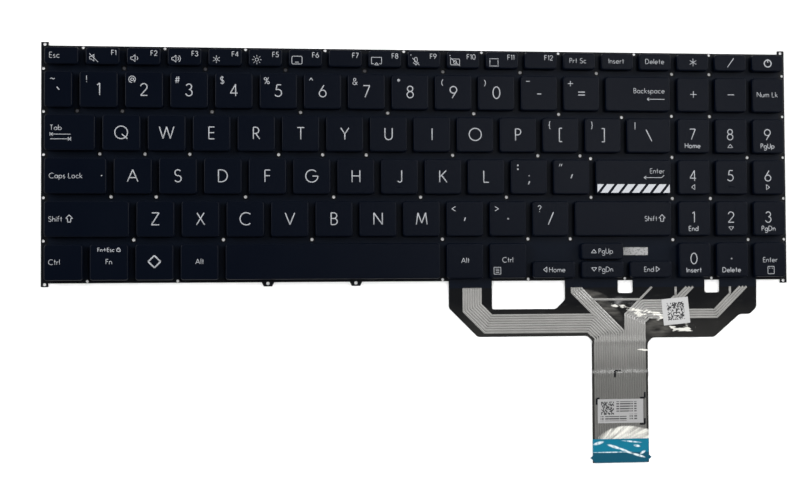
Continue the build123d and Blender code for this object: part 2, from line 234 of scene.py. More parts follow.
class Finish:
    def __init__(self, name, **constants):
        self.material = bpy.data.materials.new(name)
        self.material.use_nodes = True
        self.tree = self.material.node_tree
        self.shader = self.tree.nodes["Principled BSDF"]
        for socket, value in constants.items():
            self.shader.inputs[socket.replace("_", " ")].default_value = value

    def add(self, kind, settings=None, inputs=None, out=0):
        """One node of any kind: its settings first, then its sockets' values or links."""
        node = self.tree.nodes.new("ShaderNode" + kind)
        for name, value in (settings or {}).items():
            setattr(node, name, value)
        for socket, value in (inputs or {}).items():
            if isinstance(value, Wire):
                self.tree.links.new(value.socket, node.inputs[socket])
            else:
                node.inputs[socket].default_value = value
        return Wire(self.tree, node.outputs[out])

    def place(self):
        """Object coordinates in millimetres, as a vector."""
        spot = self.add("TexCoord", out=3)
        return self.add("VectorMath", {"operation": "SCALE"}, {0: spot, "Scale": 1000.0})

    def axes(self, spot):
        node = self.tree.nodes.new("ShaderNodeSeparateXYZ")
        self.tree.links.new(spot.socket, node.inputs[0])
        return [Wire(self.tree, socket) for socket in node.outputs]

    def noise(self, spot, size, detail=2.0, rough=0.5):
        """Noise from 0 to 1 whose spots are about this many millimetres across."""
        inputs = {"Vector": spot, "Scale": 1 / size, "Detail": detail, "Roughness": rough}
        return self.add("TexNoise", None, inputs)

    def mix(self, amount, low, high):
        low, high = [value if isinstance(value, Wire) else (*value, 1) for value in (low, high)]
        return self.add("Mix", {"data_type": "RGBA"}, {0: amount, 6: low, 7: high}, out=2)

    def ramp(self, value, low, high):
        """0 below low, 1 above high, straight between."""
        inputs = {0: value, 1: low, 2: high}
        return self.add("MapRange", {"clamp": True}, inputs)

    def bump(self, height, distance, strength=1.0):
        inputs = {"Height": height, "Distance": distance * MM, "Strength": strength}
        self.feed("Normal", self.add("Bump", None, inputs))

    def feed(self, socket, wire):
        self.tree.links.new(wire.socket, self.shader.inputs[socket])
        return self


# %% [markdown]
# The floor reads as white paper: a pale diffuse plane that glows a little, so that nothing on it
# draws a grey halo. Under the plate the paper has painted shade in its colour and glow, darker
# towards the far left, which shows through the stake holes. The sky is a ramp on the view direction's height.

# %% Floor paper, sky and lamps
paper_white = Finish("floor_paper", Roughness=0.9, Specular_IOR_Level=0.0)
paper_white.shader.inputs["Emission Strength"].default_value = 0.12
spot = paper_white.place()
x, y, z = paper_white.axes(spot)
# Painted shade: the paper under the plate is darkened in colour and glow, more towards the far left.
covered = (x > -157) * (x < 157) * (y > -40) * (y < 46)
shade = covered * (0.95 - 0.8 * paper_white.ramp(x - 6 * y, -280, -100))
bright = paper_white.mix(paper_white.noise(spot, 400), (0.84, 0.84, 0.84), (0.87, 0.87, 0.87))
paper_white.feed("Base Color", paper_white.mix(shade, bright, (0.02, 0.02, 0.025)))
paper_white.feed("Emission Color", paper_white.mix(shade, (1, 1, 1), (0.1, 0.1, 0.12)))
floor.data.materials.append(paper_white.material)

world = bpy.data.worlds.new("studio")
bpy.context.scene.world = world
world.use_nodes = True
sky = world.node_tree
direction = sky.nodes.new("ShaderNodeTexCoord")
axes = sky.nodes.new("ShaderNodeSeparateXYZ")
sky.links.new(direction.outputs["Generated"], axes.inputs[0])
dome_ramp = sky.nodes.new("ShaderNodeValToRGB")
dome_ramp.color_ramp.elements[0].position = 0.4
dome_ramp.color_ramp.elements[0].color = (1, 1, 1, 1)
dome_ramp.color_ramp.elements[1].position = 0.82
dome_ramp.color_ramp.elements[1].color = (0.01, 0.011, 0.013, 1)
sky.links.new(axes.outputs["Z"], dome_ramp.inputs[0])
sky.links.new(dome_ramp.outputs[0], sky.nodes["Background"].inputs["Color"])
sky.nodes["Background"].inputs["Strength"].default_value = 1.6


def lamp(name, place, aim, size, power):
    data = bpy.data.lights.new(name, "AREA")
    data.shape = "RECTANGLE"
    data.size, data.size_y = size
    data.energy = power
    obj = bpy.data.objects.new(name, data)
    obj.location = place
    obj.rotation_euler = (Vector(aim) - Vector(place)).to_track_quat("-Z", "Y").to_euler()
    bpy.context.scene.collection.objects.link(obj)
    return obj


lamp("right_softbox", (1.3, 0.5, 0.8), (0, 0, 0), (0.8, 0.8), 19)
lamp("left_softbox", (-1.3, 0.5, 0.8), (0, 0, 0), (0.8, 0.8), 22)
lamp("glare_lamp", (0.485, 0.12, 1.2), (0.05, -0.03, 0), (0.24, 0.24), 2.35)
lamp("overhead_panel", (0.254, 0.227, 1.2), (0, 0, 0), (0.3, 0.3), 1.9)
bpy.context.scene.view_settings.view_transform = "Standard"

# %% [markdown]
# ## Finishes
# Key tops are moulded near-black plastic with a fine spark-eroded grain. The plate has a thin black
# coat. The film is clear plastic over black, with silver ink on it. Every finish reads Object
# coordinates, so it stays put on the piece.

# %% Cap plastic and legend ink
cap_plastic = Finish("cap_plastic", Specular_IOR_Level=0.057)
spot = cap_plastic.place()
cloud = cap_plastic.noise(spot, 28, 3)
grain = cap_plastic.noise(spot, 0.22, 1)
cap_plastic.feed("Base Color", cap_plastic.mix(cloud, (0.0003, 0.0012, 0.0041), (0.0009, 0.002, 0.0051)))
cap_plastic.feed("Roughness", 0.3 + 0.08 * cloud + 0.08 * grain)
cap_plastic.bump(grain, 0.012, 0.5)


def white_ink(name, low, high):
    ink = Finish(name, Specular_IOR_Level=0.3)
    speckle = ink.noise(ink.place(), 0.5, 2)
    cool = (0.95, 0.98, 1.04)
    ink.feed("Base Color", ink.mix(speckle, [low * tint for tint in cool], [high * tint for tint in cool]))
    return ink.feed("Roughness", 0.5 + 0.2 * speckle).material


legend_ink = white_ink("legend_ink", 0.27, 0.34)
bar_ink = white_ink("bar_ink", 0.38, 0.46)

# %% Plate coat, film, silver ink
plate_coat = Finish("plate_coat", Specular_IOR_Level=0.08)
spot = plate_coat.place()
cloud = plate_coat.noise(spot, 12, 3)
peel = plate_coat.noise(spot, 0.35, 2)
plate_coat.feed("Base Color", plate_coat.mix(cloud, (0.0014, 0.002, 0.0036), (0.003, 0.0036, 0.005)))
plate_coat.feed("Roughness", 0.36 + 0.16 * cloud)
plate_coat.bump(peel, 0.008, 0.5)


def patches(finish, spot, ovals):
    """1 inside any of these ovals (middle, half lengths, turn), fading at their edges."""
    x, y, z = finish.axes(spot)
    mask = 0
    for cx, cy, rx, ry, turn in ovals:
        c, s = cos(radians(turn)), sin(radians(turn))
        u = ((x - cx) * c + (y - cy) * s) / rx
        v = ((y - cy) * c - (x - cx) * s) / ry
        mask = finish.ramp(1 - u * u - v * v, 0, 0.7).math("MAXIMUM", mask)
    return mask


CREASED = [(96, -65, 23, 9, 0), (116, -72, 10, 5, 0)]
GLOSSY = CREASED + [(87, -91.6, 16, 3, 0), (74, -57, 9, 3, 0)]
# Painted glare: pale patches in the colour of film and ink that stand in for highlights on the crumpled film.
GLARE_PATCHES = [
    (87.5, -62.6, 5, 1.3, -14), (91, -63.4, 4.4, 1.2, -10), (97.6, -65.2, 5, 2.8, -15),
        (103.6, -67.2, 5, 2.4, -18),
    (115.5, -72.4, 6.5, 2.6, 0), (98.4, -81.9, 3.4, 0.45, -3),
]
# Painted sheen: soft lighter patches on the black film.
SHEEN_PATCHES = [(104.5, -72, 7, 4.6, 0), (75.5, -57.2, 7, 2, -15), (82, -63, 9, 2.6, -40)]
# Painted glare: the fan-shaped pale patch above the stiffener stands in for glare.
GLARE_FAN = [(90.5, -121.6, 14, 6.4, 0)]
GLARE_FAN_ROOT = (75, -127)


def creases(finish, spot):
    """Masks of gloss and of painted glare, a pale colour that stands in for highlights on the crumpled film
    and for a fan-shaped glare above the stiffener, and the height of the fine creases.
    """
    x, y, z = finish.axes(spot)
    inputs = {"Vector": spot, "Scale": 0.22, "Detail": 2.0, "Distortion": 0.8}
    height = patches(finish, spot, CREASED) * finish.add("TexNoise", None, inputs)
    lines = finish.add("Mapping", None, {"Vector": spot, "Rotation": (0, 0, 0.3), "Scale": (0.35, 1, 1)})
    glare_area = patches(finish, spot, GLARE_PATCHES)
    ragged_edge = 4.4 * finish.noise(lines, 1.3, 3) - 1.5
    # Painted glare: a pale mask with ragged edges inside the glare patches, joined with the fan of rays.
    white = finish.ramp(glare_area - ragged_edge, -0.05, 0.3) * (glare_area > 0.03)
    u, v = x - GLARE_FAN_ROOT[0], y - GLARE_FAN_ROOT[1]
    polar = {0: 9 * v.math("ARCTAN2", u), 1: 0.05 * (u * u + v * v).math("POWER", 0.5)}
    rays = finish.noise(finish.add("CombineXYZ", None, polar), 1.0, 3, 0.6)
    fan = patches(finish, spot, GLARE_FAN)
    fan = finish.ramp(fan + 0.5 * rays, 0.3,
        0.55) * (0.25 + 1.1 * finish.ramp(rays, 0.36, 0.6)) * (fan > 0.03)
    return patches(finish, spot, GLOSSY), height, white.math("MAXIMUM", 0.75 * fan)


film_plastic = Finish("film_plastic", Specular_IOR_Level=0.05, Coat_Roughness=0.1)
spot = film_plastic.place()
x, y, z = film_plastic.axes(spot)
cloud = film_plastic.noise(spot, 9, 3)
streak = film_plastic.noise(film_plastic.add("Mapping", None, {"Vector": spot, "Scale": (0.25, 1, 1)}), 1.6,
    3)
gloss, height, white = creases(film_plastic, spot)
bare = film_plastic.mix(film_plastic.ramp(y + 8 * cloud, -74, -56), (0.019, 0.0186, 0.0175),
    (0.003, 0.0033, 0.004))
bare = film_plastic.mix(film_plastic.ramp(streak, 0.58, 0.8) * 0.2, bare, (0.04, 0.04, 0.038))
# Painted sheen: lighter patches mixed into the bare film's colour.
painted_sheen = patches(film_plastic, spot, SHEEN_PATCHES) * film_plastic.ramp(streak, 0.3, 0.7)
bare = film_plastic.mix(painted_sheen * 0.8, bare, (0.1, 0.096, 0.088))
# The pale colour mixed in here is painted glare.
film_plastic.feed("Base Color", film_plastic.mix(white, bare, (0.6, 0.59, 0.55)))
film_plastic.feed("Roughness", 0.42 + 0.1 * streak)
film_plastic.feed("Coat Weight", 0.7 * gloss)
film_plastic.bump(height, 0.2)

film_cover = Finish("film_cover", Specular_IOR_Level=0.072)
spot = film_cover.place()
cloud = film_cover.noise(spot, 14, 3)
film_cover.feed("Base Color", film_cover.mix(cloud, (0.0003, 0.0018, 0.0058), (0.0008, 0.0026, 0.007)))
film_cover.feed("Roughness", 0.4 + 0.15 * cloud)
film_cover.bump(film_cover.noise(spot, 0.5, 2), 0.008, 0.5)

silver_ink = Finish("silver_ink", Metallic=0.15, Specular_IOR_Level=0.2, Coat_Roughness=0.1)
spot = silver_ink.place()
cloud = silver_ink.noise(spot, 7, 3)
fleck = silver_ink.noise(spot, 0.4, 2)
x, y, z = silver_ink.axes(spot)
far = silver_ink.ramp(y, -92, -72)
ink = silver_ink.mix(0.6 * cloud + 0.4 * fleck, (0.18, 0.178, 0.17), (0.28, 0.276, 0.265))
ink = silver_ink.mix(far, silver_ink.mix(0.7, ink, (0.05, 0.05, 0.046)), ink)
gloss, height, white = creases(silver_ink, spot)
# The pale colour mixed in here is painted glare.
silver_ink.feed("Base Color", silver_ink.mix(white, ink, (0.66, 0.65, 0.6)))
silver_ink.feed("Roughness", 0.4 + 0.1 * cloud)
silver_ink.feed("Coat Weight", 0.9 * gloss)
silver_ink.bump(height, 0.2)

# %% [markdown]
# The stiffener is a strip of blue polyester, glossy, with painted glints: pale streaks and a bright line
# in its colour that stand in for highlights. Stickers are matt white paper. Domes are translucent-looking
# silicone, links dark moulded plastic, and the long keys have a drawn steel wire.

# %% Stiffener, paper, rubber, link plastic, wire
# Painted glints: pale streaks and a line on the stiffener that stand in for highlights.
GLINT_STREAKS = [
    (84, -124.6, 3.6, 0.7, -18), (89, -126.4, 4, 0.6, -23), (95, -128.5, 3.6, 0.6, -17),
        (77, -122.9, 2.8, 0.75, 14),
    (94.4, -124.3, 1.8, 0.6, -10), (97, -127.2, 1.6, 0.6, 30), (83, -127, 10, 0.3, 0),
        (92, -122.4, 5, 0.4, -6),
]
stiffener_blue = Finish("stiffener_blue", Specular_IOR_Level=0.14)
spot = stiffener_blue.place()
x, y, z = stiffener_blue.axes(spot)
cloud = stiffener_blue.noise(spot, 4, 3)
painted_glints = patches(stiffener_blue, spot, GLINT_STREAKS) * stiffener_blue.ramp(stiffener_blue.noise(spot, 1.2, 3),
    0.25, 0.6)
upper = stiffener_blue.ramp(y, -127.2, -126.9)
blue = stiffener_blue.mix(upper, (0.002, 0.06, 0.1), (0.002, 0.135, 0.215))
blue = stiffener_blue.mix(0.3 * cloud, blue, (0.004, 0.05, 0.085))
# The pale colour mixed in here is painted glints.
stiffener_blue.feed("Base Color", stiffener_blue.mix(painted_glints * 0.85, blue, (0.66, 0.74, 0.76)))
stiffener_blue.feed("Roughness", 0.3 + 0.2 * cloud)

dome_rubber = Finish("dome_rubber", Specular_IOR_Level=0.3)
spot = dome_rubber.place()
cloud = dome_rubber.noise(spot, 1.5, 2)
dome_rubber.feed("Base Color", dome_rubber.mix(cloud, (0.3, 0.3, 0.285), (0.4, 0.4, 0.38)))
dome_rubber.feed("Roughness", 0.45 + 0.2 * cloud)

link_plastic = Finish("link_plastic", Specular_IOR_Level=0.4)
spot = link_plastic.place()
cloud = link_plastic.noise(spot, 2.5, 2)
link_plastic.feed("Base Color", link_plastic.mix(cloud, (0.006, 0.006, 0.007), (0.014, 0.014, 0.016)))
link_plastic.feed("Roughness", 0.35 + 0.2 * cloud)

wire_steel = Finish("wire_steel", Metallic=1.0)
spot = wire_steel.place()
drawn = wire_steel.noise(wire_steel.add("Mapping", None, {"Vector": spot, "Scale": (0.05, 1, 1)}), 0.2, 2)
wire_steel.feed("Base Color", wire_steel.mix(drawn, (0.42, 0.42, 0.44), (0.6, 0.6, 0.62)))
wire_steel.feed("Roughness", 0.25 + 0.2 * drawn)
print("finishes", [material.name for material in bpy.data.materials if material.use_nodes][-10:])

# %% [markdown]
# ## Where each key stands
# A travelling cap is a node of its own, so its box gives its place. The other keys come in groups:
# a copy of the group is taken apart into loose solids, measured, and thrown away.

# %% Key table
GROUPS = {
    "function_row_keys": "f1 f2 f3 f4 f5 f6 f7 f8 f9 f10 f11 f12 print insert delete times divide power",
    "number_pad_keys": "plus minus lock pad7 pad8 pad9 pad4 pad5 pad6 pad1 pad2 pad3 pad0 point pad_enter",
    "punctuation_keys": "backquote dash equals bracket unbracket backslash semicolon quote comma period slash",
    "arrow_and_side_keys": "up fn system right_alt right_ctrl left down right",
}
FLARE = 0.2
keys = {}


def measured(low, high):
    """Middle, top width and top depth of a cap from its box, in millimetres."""
    x, y = [(low[i] + high[i]) / 2 / MM for i in (0, 1)]
    return x, y, (high[0] - low[0]) / MM - 2 * FLARE, (high[1] - low[1]) / MM - 2 * FLARE


for body in frame["bodies"]:
    if body != "frame":
        keys[body.replace("keycap_", "")] = measured(*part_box(body))
for group, names in GROUPS.items():
    focus(copy_of_node(group, "measure"))
    edit()
    bpy.ops.mesh.select_all(action="SELECT")
    bpy.ops.mesh.separate(type="LOOSE")
    leave()
    boxes = []
    for part in bpy.context.selected_objects:
        corners = [vertex.co for vertex in part.data.vertices]
        low = [min(corner[i] for corner in corners) for i in range(3)]
        boxes.append(measured(low, [max(corner[i] for corner in corners) for i in range(3)]))
    bpy.ops.object.delete()
    boxes.sort(key=lambda box: (-round(box[1]), box[0]))
    keys.update(zip(names.split(), boxes))
cap_low, cap_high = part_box("keycap_q")
RIDGE = 0.14
CAP_BOTTOM, CAP_TOP = cap_low[2] / MM, cap_high[2] / MM - RIDGE
FILM_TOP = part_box("rubber_domes")[0][2] / MM - 0.05
print(len(keys), "keys; caps from", round(CAP_BOTTOM, 2), "to", round(CAP_TOP, 2))

# %% [markdown]
# ## Keycaps
# A cap is a shallow tray, open below. It starts as a cube at the foot's size. Its upright edges are
# bevelled for the corners, its top face is drawn in for the draft, the rim is rounded, and the
# underside is inset and pushed up. A narrow inset inside the rim keeps the top's shading flat. Each
# size is made once and copied.

# %% One cap per size
CORNER = 1.25
RIM = 0.38
HOLD = 0.12
SIDE_WALL = 0.8
TOP_WALL = 0.64
cap_sizes = {}


def mould_cap(width, depth):
    height = CAP_TOP - CAP_BOTTOM
    bpy.ops.object.select_all(action="DESELECT")
    bpy.ops.mesh.primitive_cube_add(size=1)
    edit()
    bpy.ops.mesh.select_all(action="SELECT")
    foot = (width + 2 * FLARE, depth + 2 * FLARE)
    bpy.ops.transform.resize(value=(foot[0] * MM, foot[1] * MM, height * MM))
    bpy.ops.transform.translate(value=(0, 0, (CAP_TOP + CAP_BOTTOM) / 2 * MM))
    bpy.ops.mesh.select_mode(type="EDGE")
    pick("edges", lambda edge: abs(edge.verts[0].co.z - edge.verts[1].co.z) > 0.5 * height * MM)
    bpy.ops.mesh.bevel(offset=CORNER * MM, segments=5, affect="EDGES")
    bpy.ops.mesh.select_mode(type="FACE")
    pick("faces", lambda face: face.normal.z > 0.9)
    bpy.ops.transform.resize(value=(width / foot[0], depth / foot[1], 1))
    bpy.ops.mesh.select_mode(type="EDGE")
    pick("edges", lambda edge: all(vertex.co.z > (CAP_TOP - 0.01) * MM for vertex in edge.verts))
    bpy.ops.mesh.bevel(offset=RIM * MM, segments=3, affect="EDGES")
    bpy.ops.mesh.select_mode(type="FACE")
    pick("faces", lambda face: face.normal.z > 0.999)
    bpy.ops.mesh.inset(thickness=HOLD * MM)
    pick("faces", lambda face: face.normal.z < -0.9)
    bpy.ops.mesh.inset(thickness=(SIDE_WALL + FLARE) * MM)
    bpy.ops.transform.translate(value=(0, 0, (height - TOP_WALL) * MM))
    return smoothed(leave(), 40)


def cap_template(width, depth):
    size = (round(width, 2), round(depth, 2))
    if size not in cap_sizes:
        cap_sizes[size] = mould_cap(*size)
        cap_sizes[size].data.materials.append(cap_plastic.material)
    return cap_sizes[size]


def homing_bar(x, y):
    """Small raised ridge that a fingertip finds."""
    bpy.ops.object.select_all(action="DESELECT")
    bpy.ops.mesh.primitive_cylinder_add(vertices=16, radius=0.3 * MM, depth=3 * MM, rotation=(0, pi / 2, 0))
    ridge = bpy.context.object
    bpy.ops.object.transform_apply(location=False, rotation=True, scale=True)
    ridge.data.transform(Matrix.Translation((x * MM, y * MM, (CAP_TOP + RIDGE - 0.3) * MM)))
    ridge.data.materials.append(cap_plastic.material)
    return smoothed(modified(ridge, "BEVEL", width=0.12 * MM, segments=2, limit_method="ANGLE"))


HOMING = {"f": -4.6, "j": -4.6, "pad5": -4.2}
pieces = {}
for name, (x, y, width, depth) in keys.items():
    cap = copy_to(cap_template(width, depth), "cap_" + name, x * MM, y * MM)
    pieces[name] = joined("cap_" + name, [cap, homing_bar(x, y + HOMING[name])]) if name in HOMING else cap
for template in cap_sizes.values():
    bpy.data.objects.remove(template)
for body in frame["bodies"]:
    if body != "frame":
        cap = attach(pieces[body.replace("keycap_", "")], body)
        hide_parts(body)
for group, names in GROUPS.items():
    whole = joined("caps_" + group, [pieces[name] for name in names.split()])
    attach(whole, "frame")
    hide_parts(group)
print(len(cap_sizes), "cap sizes,", len(pieces), "caps")

# %% [markdown]
# ## Domes and links
# Under every cap a rubber dome pushes back, and two frames cross like scissors so that the cap stays
# level. The frames' solids are right already, so one pair is copied from the frame and its edges are
# eased. The dome is drawn up ring by ring from a disc.

# %% Support sets
def loose_near(node, spots):
    """Copies of a node's loose solids that stand nearest to these places."""
    focus(copy_of_node(node, "loose"))
    edit()
    bpy.ops.mesh.select_all(action="SELECT")
    bpy.ops.mesh.separate(type="LOOSE")
    leave()
    parts = list(bpy.context.selected_objects)
    centres = {}
    for part in parts:
        corners = [vertex.co for vertex in part.data.vertices]
        centres[part] = [(min(c[i] for c in corners) + max(c[i] for c in corners)) / 2 / MM for i in (0, 1)]
    chosen = [min(parts, key=lambda p: hypot(centres[p][0] - x, centres[p][1] - y)) for x, y in spots]
    focus(*[part for part in parts if part not in chosen] or chosen)
    if len(parts) > len(chosen):
        bpy.ops.object.delete()
    return chosen


def draw_dome(radius, height):
    bpy.ops.object.select_all(action="DESELECT")
    bpy.ops.mesh.primitive_circle_add(vertices=20, radius=radius * MM, fill_type="NGON")
    edit()
    bpy.ops.mesh.select_all(action="SELECT")
    bpy.ops.transform.translate(value=(0, 0, (FILM_TOP + 0.05) * MM))
    for rise, shrink in ((0.08, 1.0), (0.02, 0.9), (0.34, 0.8), (0.22, 0.86), (0.2, 0.96), (0.1, 0.9),
        (0.04, 0.8)):
        bpy.ops.mesh.extrude_region_move(TRANSFORM_OT_translate={"value": (0, 0, rise * height * MM)})
        bpy.ops.transform.resize(value=(shrink, shrink, 1))
    bpy.ops.mesh.select_all(action="SELECT")
    bpy.ops.mesh.normals_make_consistent(inside=False)
    dome = smoothed(leave(), 50)
    dome.data.materials.append(dome_rubber.material)
    return dome


def eased(part, material, width=0.12):
    part.data.materials.append(material)
    return smoothed(modified(part, "BEVEL", width=width * MM, segments=2, limit_method="ANGLE"))


SUPPORT_HEIGHT = 2.55
sets = {}
for kind, model, radius in (("full", "q", 2.9), ("short", "esc", 1.5)):
    x, y = keys[model][:2]
    frames = [loose_near(node, [(x, y)])[0] for node in ("scissor_outer_frames", "scissor_inner_frames")]
    for part in frames:
        part.data.transform(Matrix.Translation((-x * MM, -y * MM, 0)))
    whole = joined("set_" + kind, [draw_dome(radius, SUPPORT_HEIGHT)] + [eased(p,
        link_plastic.material) for p in frames])
    sets[kind] = whole
BARRED = ["backspace", "caps_lock", "enter", "left_shift", "right_shift", "space"]
bars = dict(zip(BARRED, loose_near("stabilizer_bars", [keys[name][:2] for name in BARRED])))
print({kind: len(whole.data.polygons) for kind, whole in sets.items()}, "faces in a support set;", len(bars),
    "bars")

# %% [markdown]
# Every key gets a copy of its set. Under a travelling cap the set is a piece of its own, fixed to
# the frame with its own mesh; the other keys' sets are one piece that stays as it is.

# %% Supports under the keys
still = []
for name, (x, y, width, depth) in keys.items():
    kind = "full" if depth > 10 else "short"
    places = [x - 22, x + 22] if name == "space" else [x]
    parts = [copy_to(sets[kind], "support_" + name, px * MM, y * MM) for px in places]
    if name in bars:
        parts.append(eased(bars[name], wire_steel.material, 0.2))
    if "keycap_" + name not in frame["bodies"]:
        still += parts
        continue
    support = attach(joined("support_" + name, parts), "frame")
    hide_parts("rubber_domes", "scissor_outer_frames", "scissor_inner_frames")
    if name in bars:
        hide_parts("stabilizer_bars")
    "press_" + name
    x * MM
    y * MM
    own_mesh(support)
still = joined("supports_of_seated_keys", still)
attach(still, "frame")
for whole in sets.values():
    bpy.data.objects.remove(whole)
print("supports under", len(keys), "keys")

# %% [markdown]
# ## Base plate
# The plate is a flat stamping. Its stake holes are coarse polygons in the solid, so a copy has the
# upright edges of those holes bevelled, which rounds them without touching the outline. The small
# holes along the border are widened a little first.

# %% Round the plate's holes
plate = copy_of_node("base_plate", "plate")
low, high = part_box("base_plate")
edit("EDGE")
bpy.ops.mesh.select_all(action="SELECT")
bpy.ops.mesh.dissolve_limited(angle_limit=radians(0.5))
inner_x = high[0] - 0.3 * MM
inner_y = high[1] - 1.62 * MM


def inside_upright(edge):
    a, b = (vertex.co for vertex in edge.verts)
    return abs(a.z - b.z) > 0.3 * MM and abs(a.x) < inner_x and abs(a.y) < inner_y


def near_border(vertex):
    """A corner of one of the small holes along the plate's border."""
    x, y = abs(vertex.co.x), abs(vertex.co.y)
    return x < inner_x and y < inner_y and (x > high[0] - BORDER_X * MM or y > high[1] - BORDER_Y * MM)


BORDER_X, BORDER_Y = 1.8, 3.1
HOLE_REACH, HOLE_CORNERS, WIDEN = 1.3, 12, 1.24
shape = bmesh.from_edit_mesh(plate.data)
corners = [vertex for vertex in shape.verts if near_border(vertex)]
spread = {}
for vertex in corners:
    hole = [other.co for other in corners if (vertex.co.xy - other.co.xy).length < HOLE_REACH * MM]
    if len(hole) == HOLE_CORNERS:
        middle = sum(hole, Vector()) / HOLE_CORNERS
        spread[vertex] = middle.xy + (vertex.co.xy - middle.xy) * WIDEN
for vertex, place in spread.items():
    vertex.co.xy = place
bmesh.update_edit_mesh(plate.data)
count = pick("edges", inside_upright)
bpy.ops.mesh.bevel(offset=0.26 * MM, segments=2, affect="EDGES")
plate = smoothed(leave(), 40)
plate.data.materials.append(plate_coat.material)
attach(plate, "frame")
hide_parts("base_plate")
print(count, "upright edges rounded;", len(plate.data.polygons), "faces")

# %% [markdown]
# ## Circuit film
# The film lies flat under the keys, then slopes off the plate as an apron and runs on as a tail. A
# thin sheet is never quite flat, so a copy of the solid is sliced into small cells beyond the plate,
# and the cells are lifted by a few soft ripples. The same lift carries the stickers and the print.

# %% Slice and lift
PLATE_FRONT = -50.85
FILM_EDGE = -54.0
APRON_END, FOLD_Y, FOLD_RISE = -75.45, -78.05, 0.55
FOLD_SLOPE = FOLD_RISE / (APRON_END - FOLD_Y)
TAIL_MIDDLE = (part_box("tail_label")[0][0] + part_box("tail_label")[1][0]) / 2 / MM
TAIL_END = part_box("circuit_film")[0][1] / MM
RIPPLES = [
    (84, -64, 6, 3.2, 35, 0.3), (98, -66, 8, 2.6, -20, 0.34), (109, -70, 7, 3.0, 30, 0.3),
    (117, -73, 6, 2.4, -35, 0.3), (66, -60, 9, 3, 15, 0.16), (128, -63, 9, 3, 25, 0.2),
    (45, -70, 16, 3, 5, 0.14), (20, -62, 4, 7, 10, 0.16), (143, -60, 4, 6, -10, 0.14),
    (92, -118.6, 7, 1.4, 12, 0.22), (82, -119.6, 5, 1.3, -25, 0.2), (87, -100, 12, 5, 0, 0.12),
]


def lift(x, y):
    """Height in millimetres that the loose film rises above its straight lay."""
    total = 0.0
    for cx, cy, rx, ry, turn, height in RIPPLES:
        a = radians(turn)
        u = ((x - cx) * cos(a) + (y - cy) * sin(a)) / rx
        v = ((y - cy) * cos(a) - (x - cx) * sin(a)) / ry
        total += height * exp(-u * u - v * v)
    fade = min(1, max(0, (FILM_EDGE - y) / 6)) * min(1, max(0, (y + 124) / 4))
    beside = y < APRON_END and abs(x - TAIL_MIDDLE) > 15
    return total * fade - (APRON_END - y) * FOLD_SLOPE * beside


def sliced(obj, step, low, high, axis):
    """Cuts an object across one axis at even steps, within its loose part."""
    normal = (1, 0, 0) if axis == 0 else (0, 1, 0)
    place = low + step
    while place < high:
        pick("faces", lambda face: max(v.co.y for v in face.verts) < (FILM_EDGE + 0.01) * MM)
        bpy.ops.mesh.bisect(plane_co=[value * place * MM for value in normal], plane_no=normal)
        place += step


def outline_corner(edge):
    """An upright edge where the outline of the loose film turns."""
    a, b = (vertex.co for vertex in edge.verts)
    upright = abs(a.x - b.x) + abs(a.y - b.y) < 0.01 * MM
    return upright and (TAIL_END + 1) * MM < a.y < (FILM_EDGE - 2) * MM and edge.calc_face_angle(0) > 0.3


def laid(node, name, step, corner=0.0):
    """Copy of a film or sticker, its corners rounded, sliced into cells and lifted with the film."""
    sheet = copy_of_node(node, name)
    low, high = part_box(node)
    edit()
    if corner:
        bpy.ops.mesh.select_all(action="SELECT")
        bpy.ops.mesh.dissolve_limited(angle_limit=radians(0.5))
        bpy.ops.mesh.select_mode(type="EDGE")
        print(pick("edges", outline_corner), "corners of", name, "rounded")
        bpy.ops.mesh.bevel(offset=corner * MM, segments=4, affect="EDGES")
        bpy.ops.mesh.select_mode(type="FACE")
        bpy.ops.mesh.select_all(action="SELECT")
        bpy.ops.mesh.quads_convert_to_tris()
    if high[1] / MM > FILM_EDGE:
        for line in (FILM_EDGE + 0.4, FILM_EDGE):
            bpy.ops.mesh.select_all(action="SELECT")
            bpy.ops.mesh.bisect(plane_co=(0, line * MM, 0), plane_no=(0, 1, 0))
    sliced(sheet, step, low[1] / MM, min(high[1] / MM, FILM_EDGE), 1)
    left = max(low[0] / MM, 10)
    sliced(sheet, step, left, high[0] / MM, 0)
    leave()
    for vertex in sheet.data.vertices:
        vertex.co.z += lift(vertex.co.x / MM, vertex.co.y / MM) * MM
    return smoothed(sheet, 50)


film = laid("circuit_film", "film", 1.6, 0.9)
film.data.materials.append(film_plastic.material)
film.data.materials.append(film_cover.material)
for face in film.data.polygons:
    face.material_index = int(face.center.y > FILM_EDGE * MM)
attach(film, "frame")
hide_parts("circuit_film")
print(len(film.data.polygons), "faces in the film")

# %% [markdown]
# ## Pen strokes
# Printed traces and key legends are all lines of ink. A line is a curve whose extrusion is tilted
# flat, so it becomes a ribbon as wide as the pen. A stroke is broken at sharp corners, since a ribbon
# would thin there. Each stroke lies a hair above the one before, so no two share a surface.

# %% Ribbons of ink
def unbent(points):
    """Splits a line at its sharp corners."""
    runs, run = [], [points[0]]
    for before, here, after in zip(points, points[1:], points[2:]):
        run.append(here)
        turn = atan2(after[1] - here[1], after[0] - here[0]) - atan2(here[1] - before[1], here[0] - before[0])
        if cos(turn) < 0.62:
            runs.append(run)
            run = [here]
    return runs + [run + [points[-1]]]


def thickened(obj, depth):
    """Gives flat ink a depth below its face, so that it is a closed solid bedded in what it is printed on."""
    return modified(obj, "SOLIDIFY", thickness=depth * MM, offset=-1)


